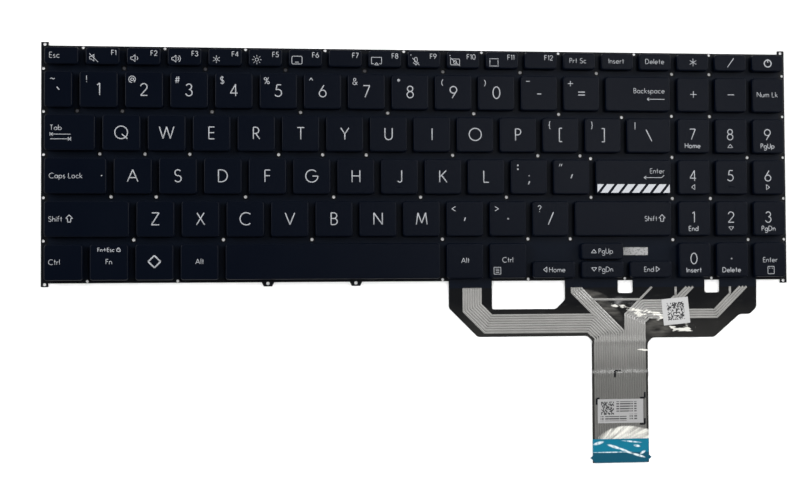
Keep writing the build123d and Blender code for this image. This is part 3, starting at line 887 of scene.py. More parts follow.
def ribbons(name, strokes, level, hair=0.0015, depth=0.02):
    """Solid flat ribbons from (points, pen) pairs; level gives the height at a place, all in mm."""
    curve = bpy.data.curves.new(name, "CURVE")
    curve.dimensions = "3D"
    curve.twist_mode = "Z_UP"
    curve.extrude = 0.5 * MM
    for number, (points, pen) in enumerate((run, pen) for line, pen in strokes for run in unbent(line)):
        closed = hypot(points[0][0] - points[-1][0], points[0][1] - points[-1][1]) < 1e-6 and len(points) > 2
        points = points[:-1] if closed else points
        spline = curve.splines.new("POLY")
        spline.points.add(len(points) - 1)
        spline.use_cyclic_u = closed
        for point, (x, y) in zip(spline.points, points):
            point.co = (x * MM, y * MM, (level(x, y) + number % 7 * hair) * MM, 1)
            point.tilt = pi / 2
            point.radius = pen
    obj = bpy.data.objects.new(name, curve)
    bpy.context.scene.collection.objects.link(obj)
    focus(obj)
    bpy.ops.object.convert(target="MESH")
    return thickened(bpy.context.object, depth)


def fields(name, shapes, height, depth=0.02):
    """Solid flat shapes, each a list of corners, at one height."""
    curve = bpy.data.curves.new(name, "CURVE")
    curve.dimensions = "2D"
    curve.fill_mode = "BOTH"
    for corners in shapes:
        spline = curve.splines.new("POLY")
        spline.points.add(len(corners) - 1)
        spline.use_cyclic_u = True
        for point, (x, y) in zip(spline.points, corners):
            point.co = (x * MM, y * MM, 0, 1)
    obj = bpy.data.objects.new(name, curve)
    bpy.context.scene.collection.objects.link(obj)
    focus(obj)
    bpy.ops.object.convert(target="MESH")
    obj = bpy.context.object
    obj.data.transform(Matrix.Translation((0, 0, height * MM)))
    return thickened(obj, depth)


# %% [markdown]
# ## Traces
# Silver lines leave the key field in five bundles, run along the apron and gather in the tail, where
# they fill its width side by side. Each bundle is one route, and its lines are that route set off
# sideways, so they stay parallel through every bend.

# %% Bundles of traces
LINES = 22
PITCH = 1.07
TRACE = 0.985
CREASE_Y, FOLD_RUN = -92.25, 1.8
FILM_PATH = [
    (0, 0.4), (PLATE_FRONT - 3, 0.4), (APRON_END, 0), (FOLD_Y, FOLD_RISE), (FOLD_Y - FOLD_RUN, 0),
    (CREASE_Y + FOLD_RUN, 0), (CREASE_Y, 0.25), (CREASE_Y - FOLD_RUN, 0), (TAIL_END - 2, 0),
]


def film_level(x, y):
    for (y0, z0), (y1, z1) in zip(FILM_PATH, FILM_PATH[1:]):
        if y >= y1:
            return z0 + (z1 - z0) * (y - y0) / (y1 - y0) + 0.25 + lift(x, y)
    return 0.25


def print_level(x, y):
    return film_level(x, y) + 0.03


def column(number):
    return TAIL_MIDDLE + (number - (LINES - 1) / 2) * PITCH


def set_off(route, distance):
    """Route moved sideways by a distance, mitred at its bends."""
    points = [Vector(point) for point in route]
    out = []
    for number, point in enumerate(points):
        ahead = (points[min(number + 1, len(points) - 1)] - points[min(number, len(points) - 2)]).normalized()
        behind = (points[max(number, 1)] - points[max(number - 1, 0)]).normalized()
        side = Vector((-ahead.y - behind.y, ahead.x + behind.x)).normalized()
        out.append(point + side * distance / max(0.3, side.dot(Vector((-ahead.y, ahead.x)))))
    return out


def finely(points, step=1.2):
    """The same line with points added along it, also at the film's folds."""
    out = [tuple(points[0])]
    for a, b in zip(points, points[1:]):
        count = max(1, round((b - a).length / step))
        parts = {n / count for n in range(1, count + 1)}
        parts |= {(y - a.y) / (b.y - a.y) for y, z in FILM_PATH if min(a.y, b.y) < y < max(a.y, b.y)}
        out += [tuple(a + (b - a) * part) for part in sorted(parts)]
    return out


START = -53.9


def routed(points, first, count):
    """Lines of a route that ends in a 45 degree run and then goes straight down the tail's columns."""
    centre = column(first + (count - 1) / 2)
    x, y = points[-1]
    route = points + [(centre, y - abs(centre - x)), (centre, TAIL_END + 0.3)]
    lines = [set_off(route, (number - (count - 1) / 2) * PITCH) for number in range(count)]
    for line in lines:
        run = line[0] - line[1]
        line[0] = line[1] + run * (START - line[1].y) / run.y
    return [finely(line) for line in lines]


def branched(line, x):
    """Line that comes straight down at this place, up to where the routed one passes."""
    rest = [point for point in line if point[0] < x]
    return [(x, START), (x, rest[0][1])] + rest


left_side = routed([(20.9, START), (20.9, -62.7), (28.0, -69.8), (74.2, -69.8)], 0, 8)
left_front = routed([(67.7, START), (67.7, -55.3)], 8, 5)
middle_line = routed([(101.8, START)], 13, 1)
right_front = routed([(118.44, START), (110.84, -61.6), (97.97, -61.6)], 14, 4)
right_side = routed([(143.14, START), (131.1, -65.9), (99.75, -65.9)], 18, 4)
right_front[0] = branched(right_front[0], 112.7)
right_side[0] = branched(right_side[0], 137.7)
link = finely([Vector((74.7, -59.3)), Vector((96.4, -59.4))])
traces = left_side + left_front + middle_line + right_front + right_side + [link]
strokes = [(line, TRACE) for line in traces]
printed = ribbons("traces", strokes, print_level, 0, 0.06)
printed.data.materials.append(silver_ink.material)
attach(printed, "frame")
print(len(strokes), "traces,", len(printed.data.polygons), "faces")

# %% [markdown]
# ## Stiffener, stickers and register marks
# The stiffener and the three stickers keep their solids' outlines and follow the film's lift. Print on
# them is only plain bars and blocks.

# %% Stiffener and stickers
stiffener = laid("tail_stiffener", "stiffener", 1.6)
stiffener.data.materials.append(stiffener_blue.material)
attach(stiffener, "frame")
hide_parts("tail_stiffener")


def paper(name, tone, paint):
    """Matt white paper; paint turns the spot into a mask of dark print."""
    finish = Finish(name, Specular_IOR_Level=0.25, Roughness=0.6)
    spot = finish.place()
    fibre = finish.noise(spot, 0.6, 3)
    sheet = finish.mix(fibre, [tone * 0.86] * 3, [tone] * 3)
    finish.feed("Base Color", finish.mix(paint(finish, spot), sheet, (0.03, 0.03, 0.032)))
    finish.bump(fibre, 0.02, 0.4)
    return finish.material


def block_print(centre, turn, half, cell):
    """Mask of scattered square blocks in a square field: a plain code-like patch that encodes nothing."""
    def paint(finish, spot):
        inputs = {"Vector": spot, "Location": (-centre[0], -centre[1], 0)}
        moved = finish.add("Mapping", {"vector_type": "POINT"}, inputs)
        turned = finish.add("VectorRotate", {"rotation_type": "Z_AXIS"}, {"Vector": moved, "Angle": -turn})
        u, v, w = finish.axes(turned)
        snapped = finish.add("VectorMath", {"operation": "SNAP"}, {0: turned, 1: (cell, cell, 1000)})
        dark = finish.add("TexWhiteNoise", None, {"Vector": snapped}) > 0.42
        inside = (u.math("ABSOLUTE", 0) < half) * (v.math("ABSOLUTE", 0) < half)
        return dark * inside
    return paint


def label_print(finish, spot):
    """Rows of grey bars beside a block patch."""
    x, y, z = finish.axes(spot)
    low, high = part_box("tail_label")
    left, front = low[0] / MM, low[1] / MM
    patch = block_print((left + 4.4, front + 6.6), 0, 2.9, 0.42)(finish, spot)
    rows = (y - front) / 1.1
    lines = rows.math("FRACT", 0) > 0.45
    dashes = finish.noise(finish.add("Mapping", None, {"Vector": spot, "Scale": (1, 0.01, 1)}), 0.7, 1) > 0.4
    words = (y > front + 5.0) * (y < front + 9.6) * (x > left + 8.4) * (x < left + 17.6)
    foot = (y > front + 0.9) * (y < front + 3.1) * (x > left + 1.2) * (x < left + 13.0)
    tick = (y > front + 1.6) * (y < front + 4.0) * (x > left + 14.2) * (x < left + 17.8)
    return patch + 0.9 * lines * dashes * (words + foot + tick)


low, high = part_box("film_sticker")
middle_of = [(a + b) / 2 / MM for a, b in zip(low, high)]
papers = {
    "film_sticker": paper("film_sticker_paper", 0.42, block_print(middle_of, radians(5.5), 3.9, 0.46)),
    "tail_label": paper("tail_label_paper", 0.29, label_print),
    "plate_sticker": paper("plate_sticker_paper", 0.32, lambda finish,
        spot: 0.5 * (finish.noise(spot, 0.9, 3) > 0.57)),
}
for node, material in papers.items():
    piece = laid(node, node + "_paper", 1.6) if node != "plate_sticker" else copy_of_node(node,
        node + "_paper")
    piece.data.materials.append(material)
    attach(piece, "frame")
    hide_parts(node)

marks = [
    [(84.7, -93.9), (84.7, -91.1), (87.4, -91.1)], [(98.2, -100.6), (98.2, -103.1), (96.0, -103.1)],
    [(76.35, -105.9), (76.35, -103.2), (77.6, -103.2)], [(98.1, -112.2), (98.1, -114.7), (95.9, -114.7)],
]
strokes = [(finely([Vector(point) for point in line]), 0.82) for line in marks]
register = ribbons("register_marks", strokes, lambda x, y: film_level(x, y) + 0.06, 0.0015, 0.08)
register.data.materials.append(plate_coat.material)
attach(register, "frame")
print("stickers", list(papers), "and", len(marks), "register marks")

# %% [markdown]
# ## Legends
# The letters are a plain geometric alphabet: straight strokes and parts of circles, drawn with one
# pen. Each glyph is a width and its strokes on a body one unit high, so a word is a row of them.

# %% Alphabet
def arc(cx, cy, r, start, end, ry=None):
    count = max(2, round(abs(end - start) / 20))
    angles = [radians(start + (end - start) * n / count) for n in range(count + 1)]
    return [(cx + r * cos(a), cy + (ry or r) * sin(a)) for a in angles]


def ring(cx, cy, r, ry=None):
    points = arc(cx, cy, r, 0, 360, ry)
    return points[:-1] + [points[0]]


bowl = ring(0.3, 0.3, 0.3)
big_s = arc(0.27, 0.75, 0.25, 35, 270) + arc(0.27, 0.25, 0.27, 80, -150)
half_arch = [(0, 0.3)] + arc(0.24, 0.36, 0.24, 180, 0) + [(0.48, 0)]
GLYPHS = {
    "A": (0.86, [[(0, 0), (0.43, 1), (0.86, 0)], [(0.15, 0.33), (0.71, 0.33)]]),
    "B": (0.52, [[(0, 0), (0, 1), (0.24, 1)] + arc(0.24, 0.76, 0.24, 90, -90) + [(0, 0.52)],
                 [(0, 0.52), (0.26, 0.52)] + arc(0.26, 0.26, 0.26, 90, -90) + [(0, 0)]]),
    "C": (0.86, [arc(0.5, 0.5, 0.52, 48, 312)]),
    "D": (0.74, [[(0, 0), (0, 1), (0.24, 1)] + arc(0.24, 0.5, 0.5, 90, -90) + [(0, 0)]]),
    "E": (0.46, [[(0.46, 1), (0, 1), (0, 0), (0.46, 0)], [(0, 0.52), (0.44, 0.52)]]),
    "F": (0.44, [[(0.44, 1), (0, 1), (0, 0)], [(0, 0.52), (0.42, 0.52)]]),
    "G": (1.02, [arc(0.5, 0.5, 0.52, 45, 360) + [(0.56, 0.5)]]),
    "H": (0.66, [[(0, 0), (0, 1)], [(0.66, 0), (0.66, 1)], [(0, 0.52), (0.66, 0.52)]]),
    "I": (0.0, [[(0, 0), (0, 1)]]),
    "J": (0.34, [[(0.34, 1), (0.34, 0.17)] + arc(0.17, 0.17, 0.17, 0, -160)]),
    "K": (0.6, [[(0, 0), (0, 1)], [(0.56, 1), (0.02, 0.46)], [(0.16, 0.6), (0.62, 0)]]),
    "L": (0.44, [[(0, 1), (0, 0), (0.44, 0)]]),
    "M": (0.92, [[(0, 0), (0.13, 1), (0.46, 0.12), (0.79, 1), (0.92, 0)]]),
    "N": (0.72, [[(0, 0), (0, 1), (0.72, 0), (0.72, 1)]]),
    "O": (1.02, [ring(0.51, 0.5, 0.53)]),
    "P": (0.46, [[(0, 0), (0, 1), (0.2, 1)] + arc(0.2, 0.74, 0.26, 90, -90) + [(0, 0.48)]]),
    "Q": (1.04, [ring(0.51, 0.5, 0.53), [(0.56, 0.36), (1.02, -0.03)]]),
    "R": (0.5, [[(0, 0), (0, 1), (0.2, 1)] + arc(0.2, 0.74, 0.26, 90, -90) + [(0, 0.48)],
        [(0.2, 0.48), (0.52, 0)]]),
    "S": (0.54, [big_s]),
    "T": (0.58, [[(0, 1), (0.58, 1)], [(0.29, 1), (0.29, 0)]]),
    "U": (0.62, [[(0, 1), (0, 0.31)] + arc(0.31, 0.31, 0.31, 180, 360) + [(0.62, 1)]]),
    "V": (0.8, [[(0, 1), (0.4, 0), (0.8, 1)]]),
    "W": (1.2, [[(0, 1), (0.3, 0), (0.6, 1), (0.9, 0), (1.2, 1)]]),
    "X": (0.66, [[(0, 0), (0.62, 1)], [(0.04, 1), (0.66, 0)]]),
    "Y": (0.68, [[(0, 1), (0.34, 0.46), (0.68, 1)], [(0.34, 0.46), (0.34, 0)]]),
    "Z": (0.64, [[(0.02, 1), (0.62, 1), (0, 0), (0.64, 0)]]),
    "a": (0.6, [bowl, [(0.6, 0.6), (0.6, 0)]]),
    "b": (0.6, [bowl, [(0, 1.05), (0, 0)]]),
    "c": (0.52, [arc(0.3, 0.3, 0.3, 50, 310)]),
    "d": (0.6, [bowl, [(0.6, 1.05), (0.6, 0)]]),
    "e": (0.6, [[(0.02, 0.3), (0.6, 0.3)], arc(0.3, 0.3, 0.3, 0, 315)]),
    "f": (0.36, [[(0.14, 0)] + arc(0.32, 0.86, 0.18, 180, 70), [(0, 0.6), (0.34, 0.6)]]),
    "g": (0.6, [bowl, [(0.6, 0.6), (0.6, -0.12)] + arc(0.3, -0.12, 0.3, 0, -150)]),
    "h": (0.48, [[(0, 1.05), (0, 0)], half_arch]),
    "i": (0.0, [[(0, 0.6), (0, 0)], [(0, 0.82), (0, 0.94)]]),
    "k": (0.46, [[(0, 1.05), (0, 0)], [(0.4, 0.6), (0.02, 0.22)], [(0.14, 0.34), (0.46, 0)]]),
    "l": (0.0, [[(0, 1.05), (0, 0)]]),
    "m": (0.8, [[(0, 0.6), (0, 0)], arc(0.2, 0.4, 0.2, 180, 0) + [(0.4, 0)],
        arc(0.6, 0.4, 0.2, 180, 0) + [(0.8, 0)]]),
    "n": (0.48, [[(0, 0.6), (0, 0)], half_arch]),
    "o": (0.6, [bowl]),
    "p": (0.6, [bowl, [(0, 0.6), (0, -0.35)]]),
    "r": (0.3, [[(0, 0.6), (0, 0)], arc(0.22, 0.36, 0.22, 180, 60)]),
    "s": (0.36, [arc(0.18, 0.45, 0.15, 40, 270) + arc(0.18, 0.15, 0.16, 80, -145)]),
    "t": (0.3, [[(0.15, 0.95), (0.15, 0)], [(0, 0.6), (0.3, 0.6)]]),
    "u": (0.48, [[(0, 0.6), (0, 0.24)] + arc(0.24, 0.24, 0.24, 180, 360), [(0.48, 0.6), (0.48, 0)]]),
    "0": (0.6, [ring(0.3, 0.5, 0.3, 0.51)]),
    "1": (0.22, [[(0, 0.84), (0.2, 1), (0.2, 0)]]),
    "2": (0.56, [arc(0.27, 0.72, 0.27, 170, -38) + [(0, 0), (0.56, 0)]]),
    "3": (0.52, [arc(0.24, 0.76, 0.23, 160, -90), arc(0.24, 0.26, 0.27, 90, -165)]),
    "4": (0.6, [[(0.44, 0), (0.44, 1), (0, 0.26), (0.6, 0.26)]]),
    "5": (0.56, [[(0.5, 1), (0.16, 1), (0.08, 0.56)] + arc(0.24, 0.31, 0.3, 110, -150)]),
    "6": (0.58, [[(0.4, 1), (0.05, 0.43)], ring(0.29, 0.29, 0.29)]),
    "7": (0.54, [[(0, 1), (0.54, 1), (0.14, 0)]]),
    "8": (0.54, [ring(0.27, 0.76, 0.23), ring(0.27, 0.26, 0.27)]),
    "9": (0.58, [[(0.18, 0), (0.53, 0.57)], ring(0.29, 0.71, 0.29)]),
}
MARKS = {
    "~": (0.65, [[(0, 0.45), (0.12, 0.57), (0.25, 0.57), (0.4, 0.44), (0.53, 0.44), (0.65, 0.56)]]),
    "`": (0.2, [[(0, 0.66), (0.2, 0.4)]]),
    "!": (0.0, [[(0, 1), (0, 0.3)], [(0, 0.1), (0, 0)]]),
    "@": (1.0, [arc(0.5, 0.5, 0.5, -60, 270), ring(0.5, 0.5, 0.21),
        [(0.72, 0.7), (0.74, 0.34), (0.96, 0.34)]]),
    "#": (0.7, [[(0.16, 0), (0.3, 1)], [(0.44, 0), (0.58, 1)], [(0.02, 0.34), (0.66, 0.34)],
        [(0.06, 0.66), (0.7, 0.66)]]),
    "$": (0.54, [big_s, [(0.27, 1.14), (0.27, -0.14)]]),
    "%": (0.8, [ring(0.18, 0.78, 0.18), ring(0.62, 0.2, 0.18), [(0.12, 0), (0.68, 1)]]),
    "^": (0.5, [[(0, 0.6), (0.25, 1), (0.5, 0.6)]]),
    "&": (0.72, [[(0.7, 0), (0.16, 0.68)] + arc(0.32, 0.81, 0.18, 200, -30) + [(0.1, 0.36)]
                 + arc(0.27, 0.25, 0.25, 150, 330) + [(0.7, 0.44)]]),
    "*": (0.5, [[(0.25, 0.5), (0.25, 1)], [(0.03, 0.63), (0.47, 0.87)], [(0.03, 0.87), (0.47, 0.63)]]),
    "(": (0.14, [arc(0.7, 0.45, 0.7, 135, 225)]),
    ")": (0.14, [arc(-0.56, 0.45, 0.7, 45, -45)]),
    "_": (0.6, [[(0, 0.8), (0.6, 0.8)]]),
    "-": (0.36, [[(0, 0.42), (0.36, 0.42)]]),
    "+": (0.84, [[(0, 0.5), (0.84, 0.5)], [(0.42, 0.08), (0.42, 0.92)]]),
    "=": (0.6, [[(0, 0.36), (0.6, 0.36)], [(0, 0.62), (0.6, 0.62)]]),
    "[": (0.24, [[(0.24, 1.08), (0, 1.08), (0, -0.08), (0.24, -0.08)]]),
    "]": (0.24, [[(0, 1.08), (0.24, 1.08), (0.24, -0.08), (0, -0.08)]]),
    "{": (0.26, [[(0.26, 1.08), (0.12, 1.0), (0.12, 0.6), (0, 0.5), (0.12, 0.4), (0.12, 0), (0.26, -0.08)]]),
    "}": (0.26, [[(0, 1.08), (0.14, 1.0), (0.14, 0.6), (0.26, 0.5), (0.14, 0.4), (0.14, 0), (0, -0.08)]]),
    "\\": (0.5, [[(0, 1), (0.5, 0)]]),
    "|": (0.0, [[(0, 1.05), (0, -0.1)]]),
    ";": (0.06, [[(0.03, 0.62), (0.03, 0.52)], [(0.06, 0.1), (-0.04, -0.18)]]),
    ":": (0.0, [ring(0, 0.72, 0.08), ring(0, 0.12, 0.08)]),
    "'": (0.14, [[(0.14, 0.72), (0, 0.36)]]),
    '"': (0.5, [[(0.2, 1), (0.04, 0.6)], [(0.5, 1), (0.34, 0.6)]]),
    ",": (0.06, [[(0.06, 0.6), (-0.04, 0.3)]]),
    "<": (0.6, [[(0.6, 0.85), (0, 0.5), (0.6, 0.15)]]),
    ">": (0.6, [[(0, 0.85), (0.6, 0.5), (0, 0.15)]]),
    ".": (0.0, [ring(0, 0.48, 0.03)]),
    "/": (0.46, [[(0, -0.04), (0.46, 1.04)]]),
    "?": (0.5, [arc(0.25, 0.76, 0.24, 170, -60) + [(0.25, 0.44), (0.25, 0.3)], [(0.25, 0.1), (0.25, 0)]]),
}
GLYPHS.update(MARKS)
print(len(GLYPHS), "glyphs")

# %% [markdown]
# A word is set left, centred or right on a baseline. Sizes are the height of a capital letter, in
# millimetres, and a stroke list carries its pen with it.

# %% Words and icons
LETTER, LETTER_PEN = 5.1, 0.45
PAD_DIGIT, PAD_PEN = 4.7, 0.42
SYMBOL, SYMBOL_PEN = 2.8, 0.31
WORD, WORD_PEN = 2.08, 0.23
SPACE = 0.45
TRACKING = 0.24


def word(text, x, y, size=WORD, pen=WORD_PEN, align=0):
    """Strokes of a word; align 0 starts at x, 0.5 is centred on it, 1 ends at it."""
    strokes, at = [], 0.0
    for letter in text:
        if letter == " ":
            at += SPACE
            continue
        width, lines = GLYPHS[letter]
        strokes += [[(at + px, py) for px, py in line] for line in lines]
        at += width + TRACKING
    shift = x - align * (at - TRACKING) * size
    return [([(shift + px * size, y + py * size) for px, py in line], pen) for line in strokes]


def moved(lines, x, y, pen=0.3, size=1.0):
    return [([(x + px * size, y + py * size) for px, py in line], pen) for line in lines]


def box(left, low, right, high, r=0.4):
    line = arc(right - r, high - r, r, 0, 90) + arc(left + r, high - r, r, 90, 180)
    line += arc(left + r, low + r, r, 180, 270) + arc(right - r, low + r, r, 270, 360)
    return line + [line[0]]


speaker = [(-1.7, 0.55), (-1.0, 0.55), (0.1, 1.5), (0.1, -1.5), (-1.0, -0.55), (-1.7, -0.55), (-1.7, 0.55)]
slash = [(-1.8, 1.8), (1.8, -1.8)]


def sun(r, start, end, rays):
    angles = [2 * pi * n / rays + pi / 2 for n in range(rays)]
    return [ring(0, 0, r)] + [[(start * cos(a), start * sin(a)),
        (end * cos(a), end * sin(a))] for a in angles]


def triangle(turn, width=2.3, height=1.5):
    """Outline of a flat triangle that points along this angle."""
    c, s = cos(radians(turn)), sin(radians(turn))
    corners = [(height / 2, 0), (-height / 2, width / 2), (-height / 2, -width / 2), (height / 2, 0)]
    return [[(c * a - s * b, s * a + c * b) for a, b in corners]]


ICONS = {
    "f1": [speaker, slash],
    "f2": [speaker, arc(0.3, 0, 0.9, -55, 55)],
    "f3": [speaker, arc(0.3, 0, 0.9, -55, 55), arc(0.3, 0, 1.7, -55, 55)],
    "f4": sun(0.5, 0.9, 1.65, 6),
    "f5": sun(0.7, 1.3, 2.0, 8),
    "f6": [box(-2.2, -1.7, 2.2, 1.7, 0.6), [(-0.8, -0.9), (0.8, -0.9)]],
    "f8": [[(-1.2, -1.2), (-2.2, -1.2), (-2.2, 1.6), (2.2, 1.6), (2.2, -1.2), (1.2, -1.2)],
           [(-0.9, -1.7), (0, -0.7), (0.9, -1.7), (-0.9, -1.7)]],
    "f9": [box(-0.6, -0.3, 0.6, 1.8, 0.6), arc(0, 0, 1.2, 200, 340), [(0, -1.2), (0, -1.8)],
        [(-1.5, 1.5), (1.5, -1.6)]],
    "f10": [box(-2.0, -1.3, 2.0, 1.3, 0.4), ring(0, -0.1, 0.7), [(-2.2, 1.9), (2.2, -1.8)]],
    "f11": [[(-1.4, 1.6), (1.4, 1.6)], [(-1.4, -1.6), (1.4, -1.6)], [(-1.8, 1.2), (-1.8, -1.2)],
        [(1.8, 1.2), (1.8, -1.2)]]
    + [[(sx * 1.8 - 0.28, sy * 1.6), (sx * 1.8 + 0.28, sy * 1.6)] for sx in (-1, 1) for sy in (-1, 1)],
    "power": [ring(0, 0, 1.6), [(0, 0.4), (0, 1.9)]],
}
shift_arrow = [(-0.7, -1.5), (-0.7, 0.1), (-1.5, 0.1), (0, 1.7), (1.5, 0.1), (0.7, 0.1), (0.7, -1.5),
    (-0.7, -1.5)]
menu_sheet = [box(-1.5, -1.5, 1.5, 1.5, 0.2), [(-0.8, 0.7), (0.8, 0.7)], [(-0.8, 0), (0.8, 0)],
    [(-0.8, -0.7), (0.8, -0.7)]]
calculator = [box(-1.45, -1.65, 1.45, 1.65, 0.25), [(-0.9, 0.85), (-0.3, 0.85)], [(0.3, 0.85), (0.9, 0.85)]]
padlock = [box(-0.7, -0.7, 0.7, 0.35, 0.15), arc(0, 0.35, 0.45, 0, 180)]
back_arrow = [[(-3.9, 0), (3.9, 0)], [(-3.1, 0.7), (-4.0, 0), (-3.1, -0.7)]]
print(len(ICONS), "icons")

# %% [markdown]
# What stands on each key: one large letter or digit in the middle, a shifted symbol at the upper
# left, words at the outer edge of the wide keys, and pad keys with a word under their digit.

# %% Legend of each key
def legend(name):
    x, y, width, depth = keys[name]
    left, right = x - width / 2, x + width / 2
    low = y - LETTER / 2
    if len(name) == 1 and name.isalpha():
        return word(name.upper(), x, low, LETTER, LETTER_PEN, 0.5)
    if name in SHIFTED:
        main, upper = SHIFTED[name]
        corner = x - (2.3 if name == "backquote" else 6.3 if name == "backslash" else 5.0)
        return word(main, x, low, LETTER, LETTER_PEN, 0.5) + word(upper, corner, y + 2.9, SYMBOL, SYMBOL_PEN,
            0.5)
    if name in WORDS:
        label, size, shift = WORDS[name]
        return word(label, x + shift, y - size / 2 + 0.2, size, align=0.5)
    if name[0] == "f" and name[1:].isdigit():
        nearer = 0.4 if int(name[1:]) > 8 else 0
        strokes = word(name.upper(), right - 1.4 - nearer, y + 0.25, 2.1, 0.28, 1)
        strokes += moved(ICONS.get(name, []), x - 3.7, y - 1.0, 0.23 if name == "f5" else 0.27)
        return strokes + (moved([ring(0, 0, 0.12)], x - 5.9, y + 1.8, 0.25) if name in ("f9", "f10") else [])
    if name in PAD:
        digit, below = PAD[name]
        strokes = word(digit, x - 0.6, y + 0.6 - PAD_DIGIT / 2, PAD_DIGIT, PAD_PEN, 0.5)
        if isinstance(below, str):
            return strokes + word(below, x - 0.6, y - 5.5, 2.05, 0.3, 0.5)
        return strokes + moved(triangle(below), x - 0.6, y - 4.5, 0.26)
    special = {
        "esc": lambda: word("Esc", left + 2.2, y - 1.1, 2.3),
        "times": lambda: moved([[(0, -1.55), (0, 1.55)], [(-1.35, -0.78), (1.35, 0.78)],
            [(-1.35, 0.78), (1.35, -0.78)]], x, y, 0.26, 1.1),
        "divide": lambda: moved([[(-1.45, -2.0), (1.45, 2.0)]], x, y, 0.34),
        "plus": lambda: moved([[(-1.45, 0), (1.45, 0)], [(0, -1.45), (0, 1.45)]], x, y, 0.34),
        "minus": lambda: moved([[(-1.5, 0), (1.5, 0)]], x, y, 0.36),
        "power": lambda: moved(ICONS["power"], x, y - 0.1, 0.5),
        "tab": lambda: word("Tab", left + 2.5, y + 0.9)
        + moved([[(-4.0, 0), (4.2, 0)], [(-3.1, 0.7), (-4.0, 0), (-3.1, -0.7)], [(-4.3, 0.8), (-4.3, -0.8)]],
            left + 6.8, y - 0.9, 0.26)
        + moved([[(-4.2, 0), (4.0, 0)], [(3.1, 0.7), (4.0, 0), (3.1, -0.7)], [(4.3, 0.8), (4.3, -0.8)]],
            left + 6.8, y - 2.9, 0.26),
        "caps_lock": lambda: word("Caps Lock", left + 2.2, y - 1.1) + moved([ring(0, 0, 0.14)], right - 1.9,
            y, 0.28),
        "left_shift": lambda: word("Shift", left + 2.0, y - 1.1) + moved([shift_arrow], left + 10.5, y + 0.1,
            0.32, 0.95),
        "right_shift": lambda: word("Shift", right - 6.5, y - 1.1, align=1) + moved([shift_arrow],
            right - 4.2, y + 0.1, 0.32, 0.95),
        "left_ctrl": lambda: word("Ctrl", left + 2.0, y - 0.9),
        "fn": lambda: word("Fn", x, y - 0.8, align=0.5) + word("Fn+Esc", x - 1.2, y + 4.5, 1.6, 0.26, 0.5)
        + moved([*padlock], x + 4.0, y + 5.3, 0.3),
        "system": lambda: moved([[(0, 2.6), (2.6, 0), (0, -2.6), (-2.6, 0), (0, 2.6)]], x, y + 0.2, 0.6),
        "right_ctrl": lambda: word("Ctrl", x - 0.3, y - 0.7, align=0.5) + moved(menu_sheet, x - 4.9, y - 4.4,
            0.24),
        "backspace": lambda: word("Backspace", right - 2.5, y + 0.4, align=1) + moved(back_arrow,
            right - 6.4, y - 2.3),
        "enter": lambda: word("Enter", right - 2.9, y + 1.6, align=1)
        + moved([[(-4.6, 0), (3.4, 0), (4.6, 1.1)], [(-3.6, 0.7), (-4.6, 0), (-3.6, -0.7)]], right - 7.6,
            y - 0.3),
        "pad_enter": lambda: word("Enter", x, y - 1.1, align=0.5) + moved(calculator, x + 0.3, y - 4.7, 0.26),
        "left": lambda: moved(triangle(180), x - 4.1, y, 0.28) + word("Home", x - 2.2, y - 1.1),
        "up": lambda: moved(triangle(90), x - 4.0, y, 0.3) + word("PgUp", x - 1.8, y - 1.0),
        "down": lambda: moved(triangle(270), x - 4.0, y, 0.3) + word("PgDn", x - 1.8, y - 1.0),
        "right": lambda: word("End", x - 3.1, y - 1.1) + moved(triangle(0), x + 3.0, y, 0.28),
    }
    return special[name]() if name in special else []


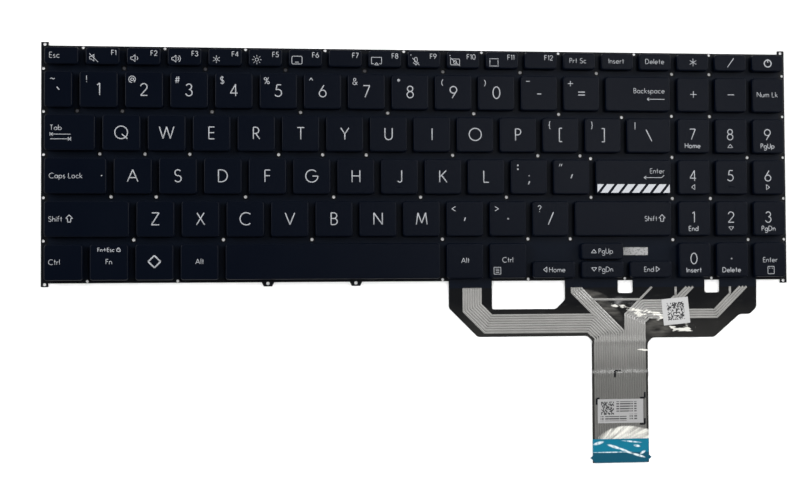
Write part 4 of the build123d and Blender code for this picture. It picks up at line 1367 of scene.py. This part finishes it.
SHIFTED = {digit: (digit, upper) for digit, upper in zip("1234567890", "!@#$%^&*()")}
SHIFTED.update({
    "backquote": "`~", "dash": "-_", "equals": "=+", "bracket": "[{", "unbracket": "]}", "backslash": "\\|",
    "semicolon": ";:", "quote": "'\"", "comma": ",<", "period": ".>", "slash": "/?",
})
WORDS = {
    "print": ("Prt Sc", WORD, -0.6), "insert": ("Insert", WORD, -0.5), "delete": ("Delete", WORD, -0.3),
    "lock": ("Num Lk", 2.2, -0.4), "left_alt": ("Alt", WORD, 0), "right_alt": ("Alt", WORD, 0),
}
PAD = {
    "pad7": ("7", "Home"), "pad8": ("8", 90), "pad9": ("9", "PgUp"), "pad4": ("4", 180), "pad5": ("5", ""),
    "pad6": ("6", 0), "pad1": ("1", "End"), "pad2": ("2", 270), "pad3": ("3", "PgDn"),
        "pad0": ("0", "Insert"),
    "point": (".", "Delete"),
}

# %% [markdown]
# The enter key has a band of slanted bars along its front edge. The rest of the legends are ribbons.
# Ink on a travelling cap rides with it; ink on the other keys is one piece for each group.

# %% Print the legends
INK = CAP_TOP + 0.008


def slanted_bars(name):
    x, y, width, depth = keys[name]
    left, right = x - width / 2 + 0.5, x + width / 2 - 0.5
    low, high = y - depth / 2 + 0.5, y - depth / 2 + 4.3
    period, bar, lean = 4.74, 3.3, 3.0
    shapes = []
    start = left - 3.4
    while start < right:
        corners = [(start, low), (start + bar, low), (start + bar + lean, high), (start + lean, high)]
        shapes.append(clipped(clipped(corners, left, 1), right, -1))
        start += period
    return [corners for corners in shapes if len(corners) > 2]


def clipped(corners, limit, sign):
    """Part of a shape on one side of a line across X."""
    out = []
    for (ax, ay), (bx, by) in zip(corners, corners[1:] + corners[:1]):
        if sign * (ax - limit) >= 0:
            out.append((ax, ay))
        if (ax - limit) * (bx - limit) < 0:
            t = (limit - ax) / (bx - ax)
            out.append((limit, ay + (by - ay) * t))
    return out


def print_ink(name, strokes, body, shapes=()):
    inks = [ribbons(name, strokes, lambda x, y: INK)]
    inks[0].data.materials.append(legend_ink)
    if shapes:
        inks.append(fields(name + "_bars", shapes, INK))
        inks[1].data.materials.append(bar_ink)
    ink = joined(name, inks)
    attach(ink, body)
    return len(ink.data.polygons)


total = 0
for body in frame["bodies"]:
    name = body.replace("keycap_", "")
    if body != "frame" and name != "space":
        total += print_ink("ink_" + name, legend(name), body, slanted_bars(name) if name == "enter" else ())
for group, names in GROUPS.items():
    total += print_ink("ink_" + group, [stroke for name in names.split() for stroke in legend(name)], "frame")
print(total, "faces of ink")
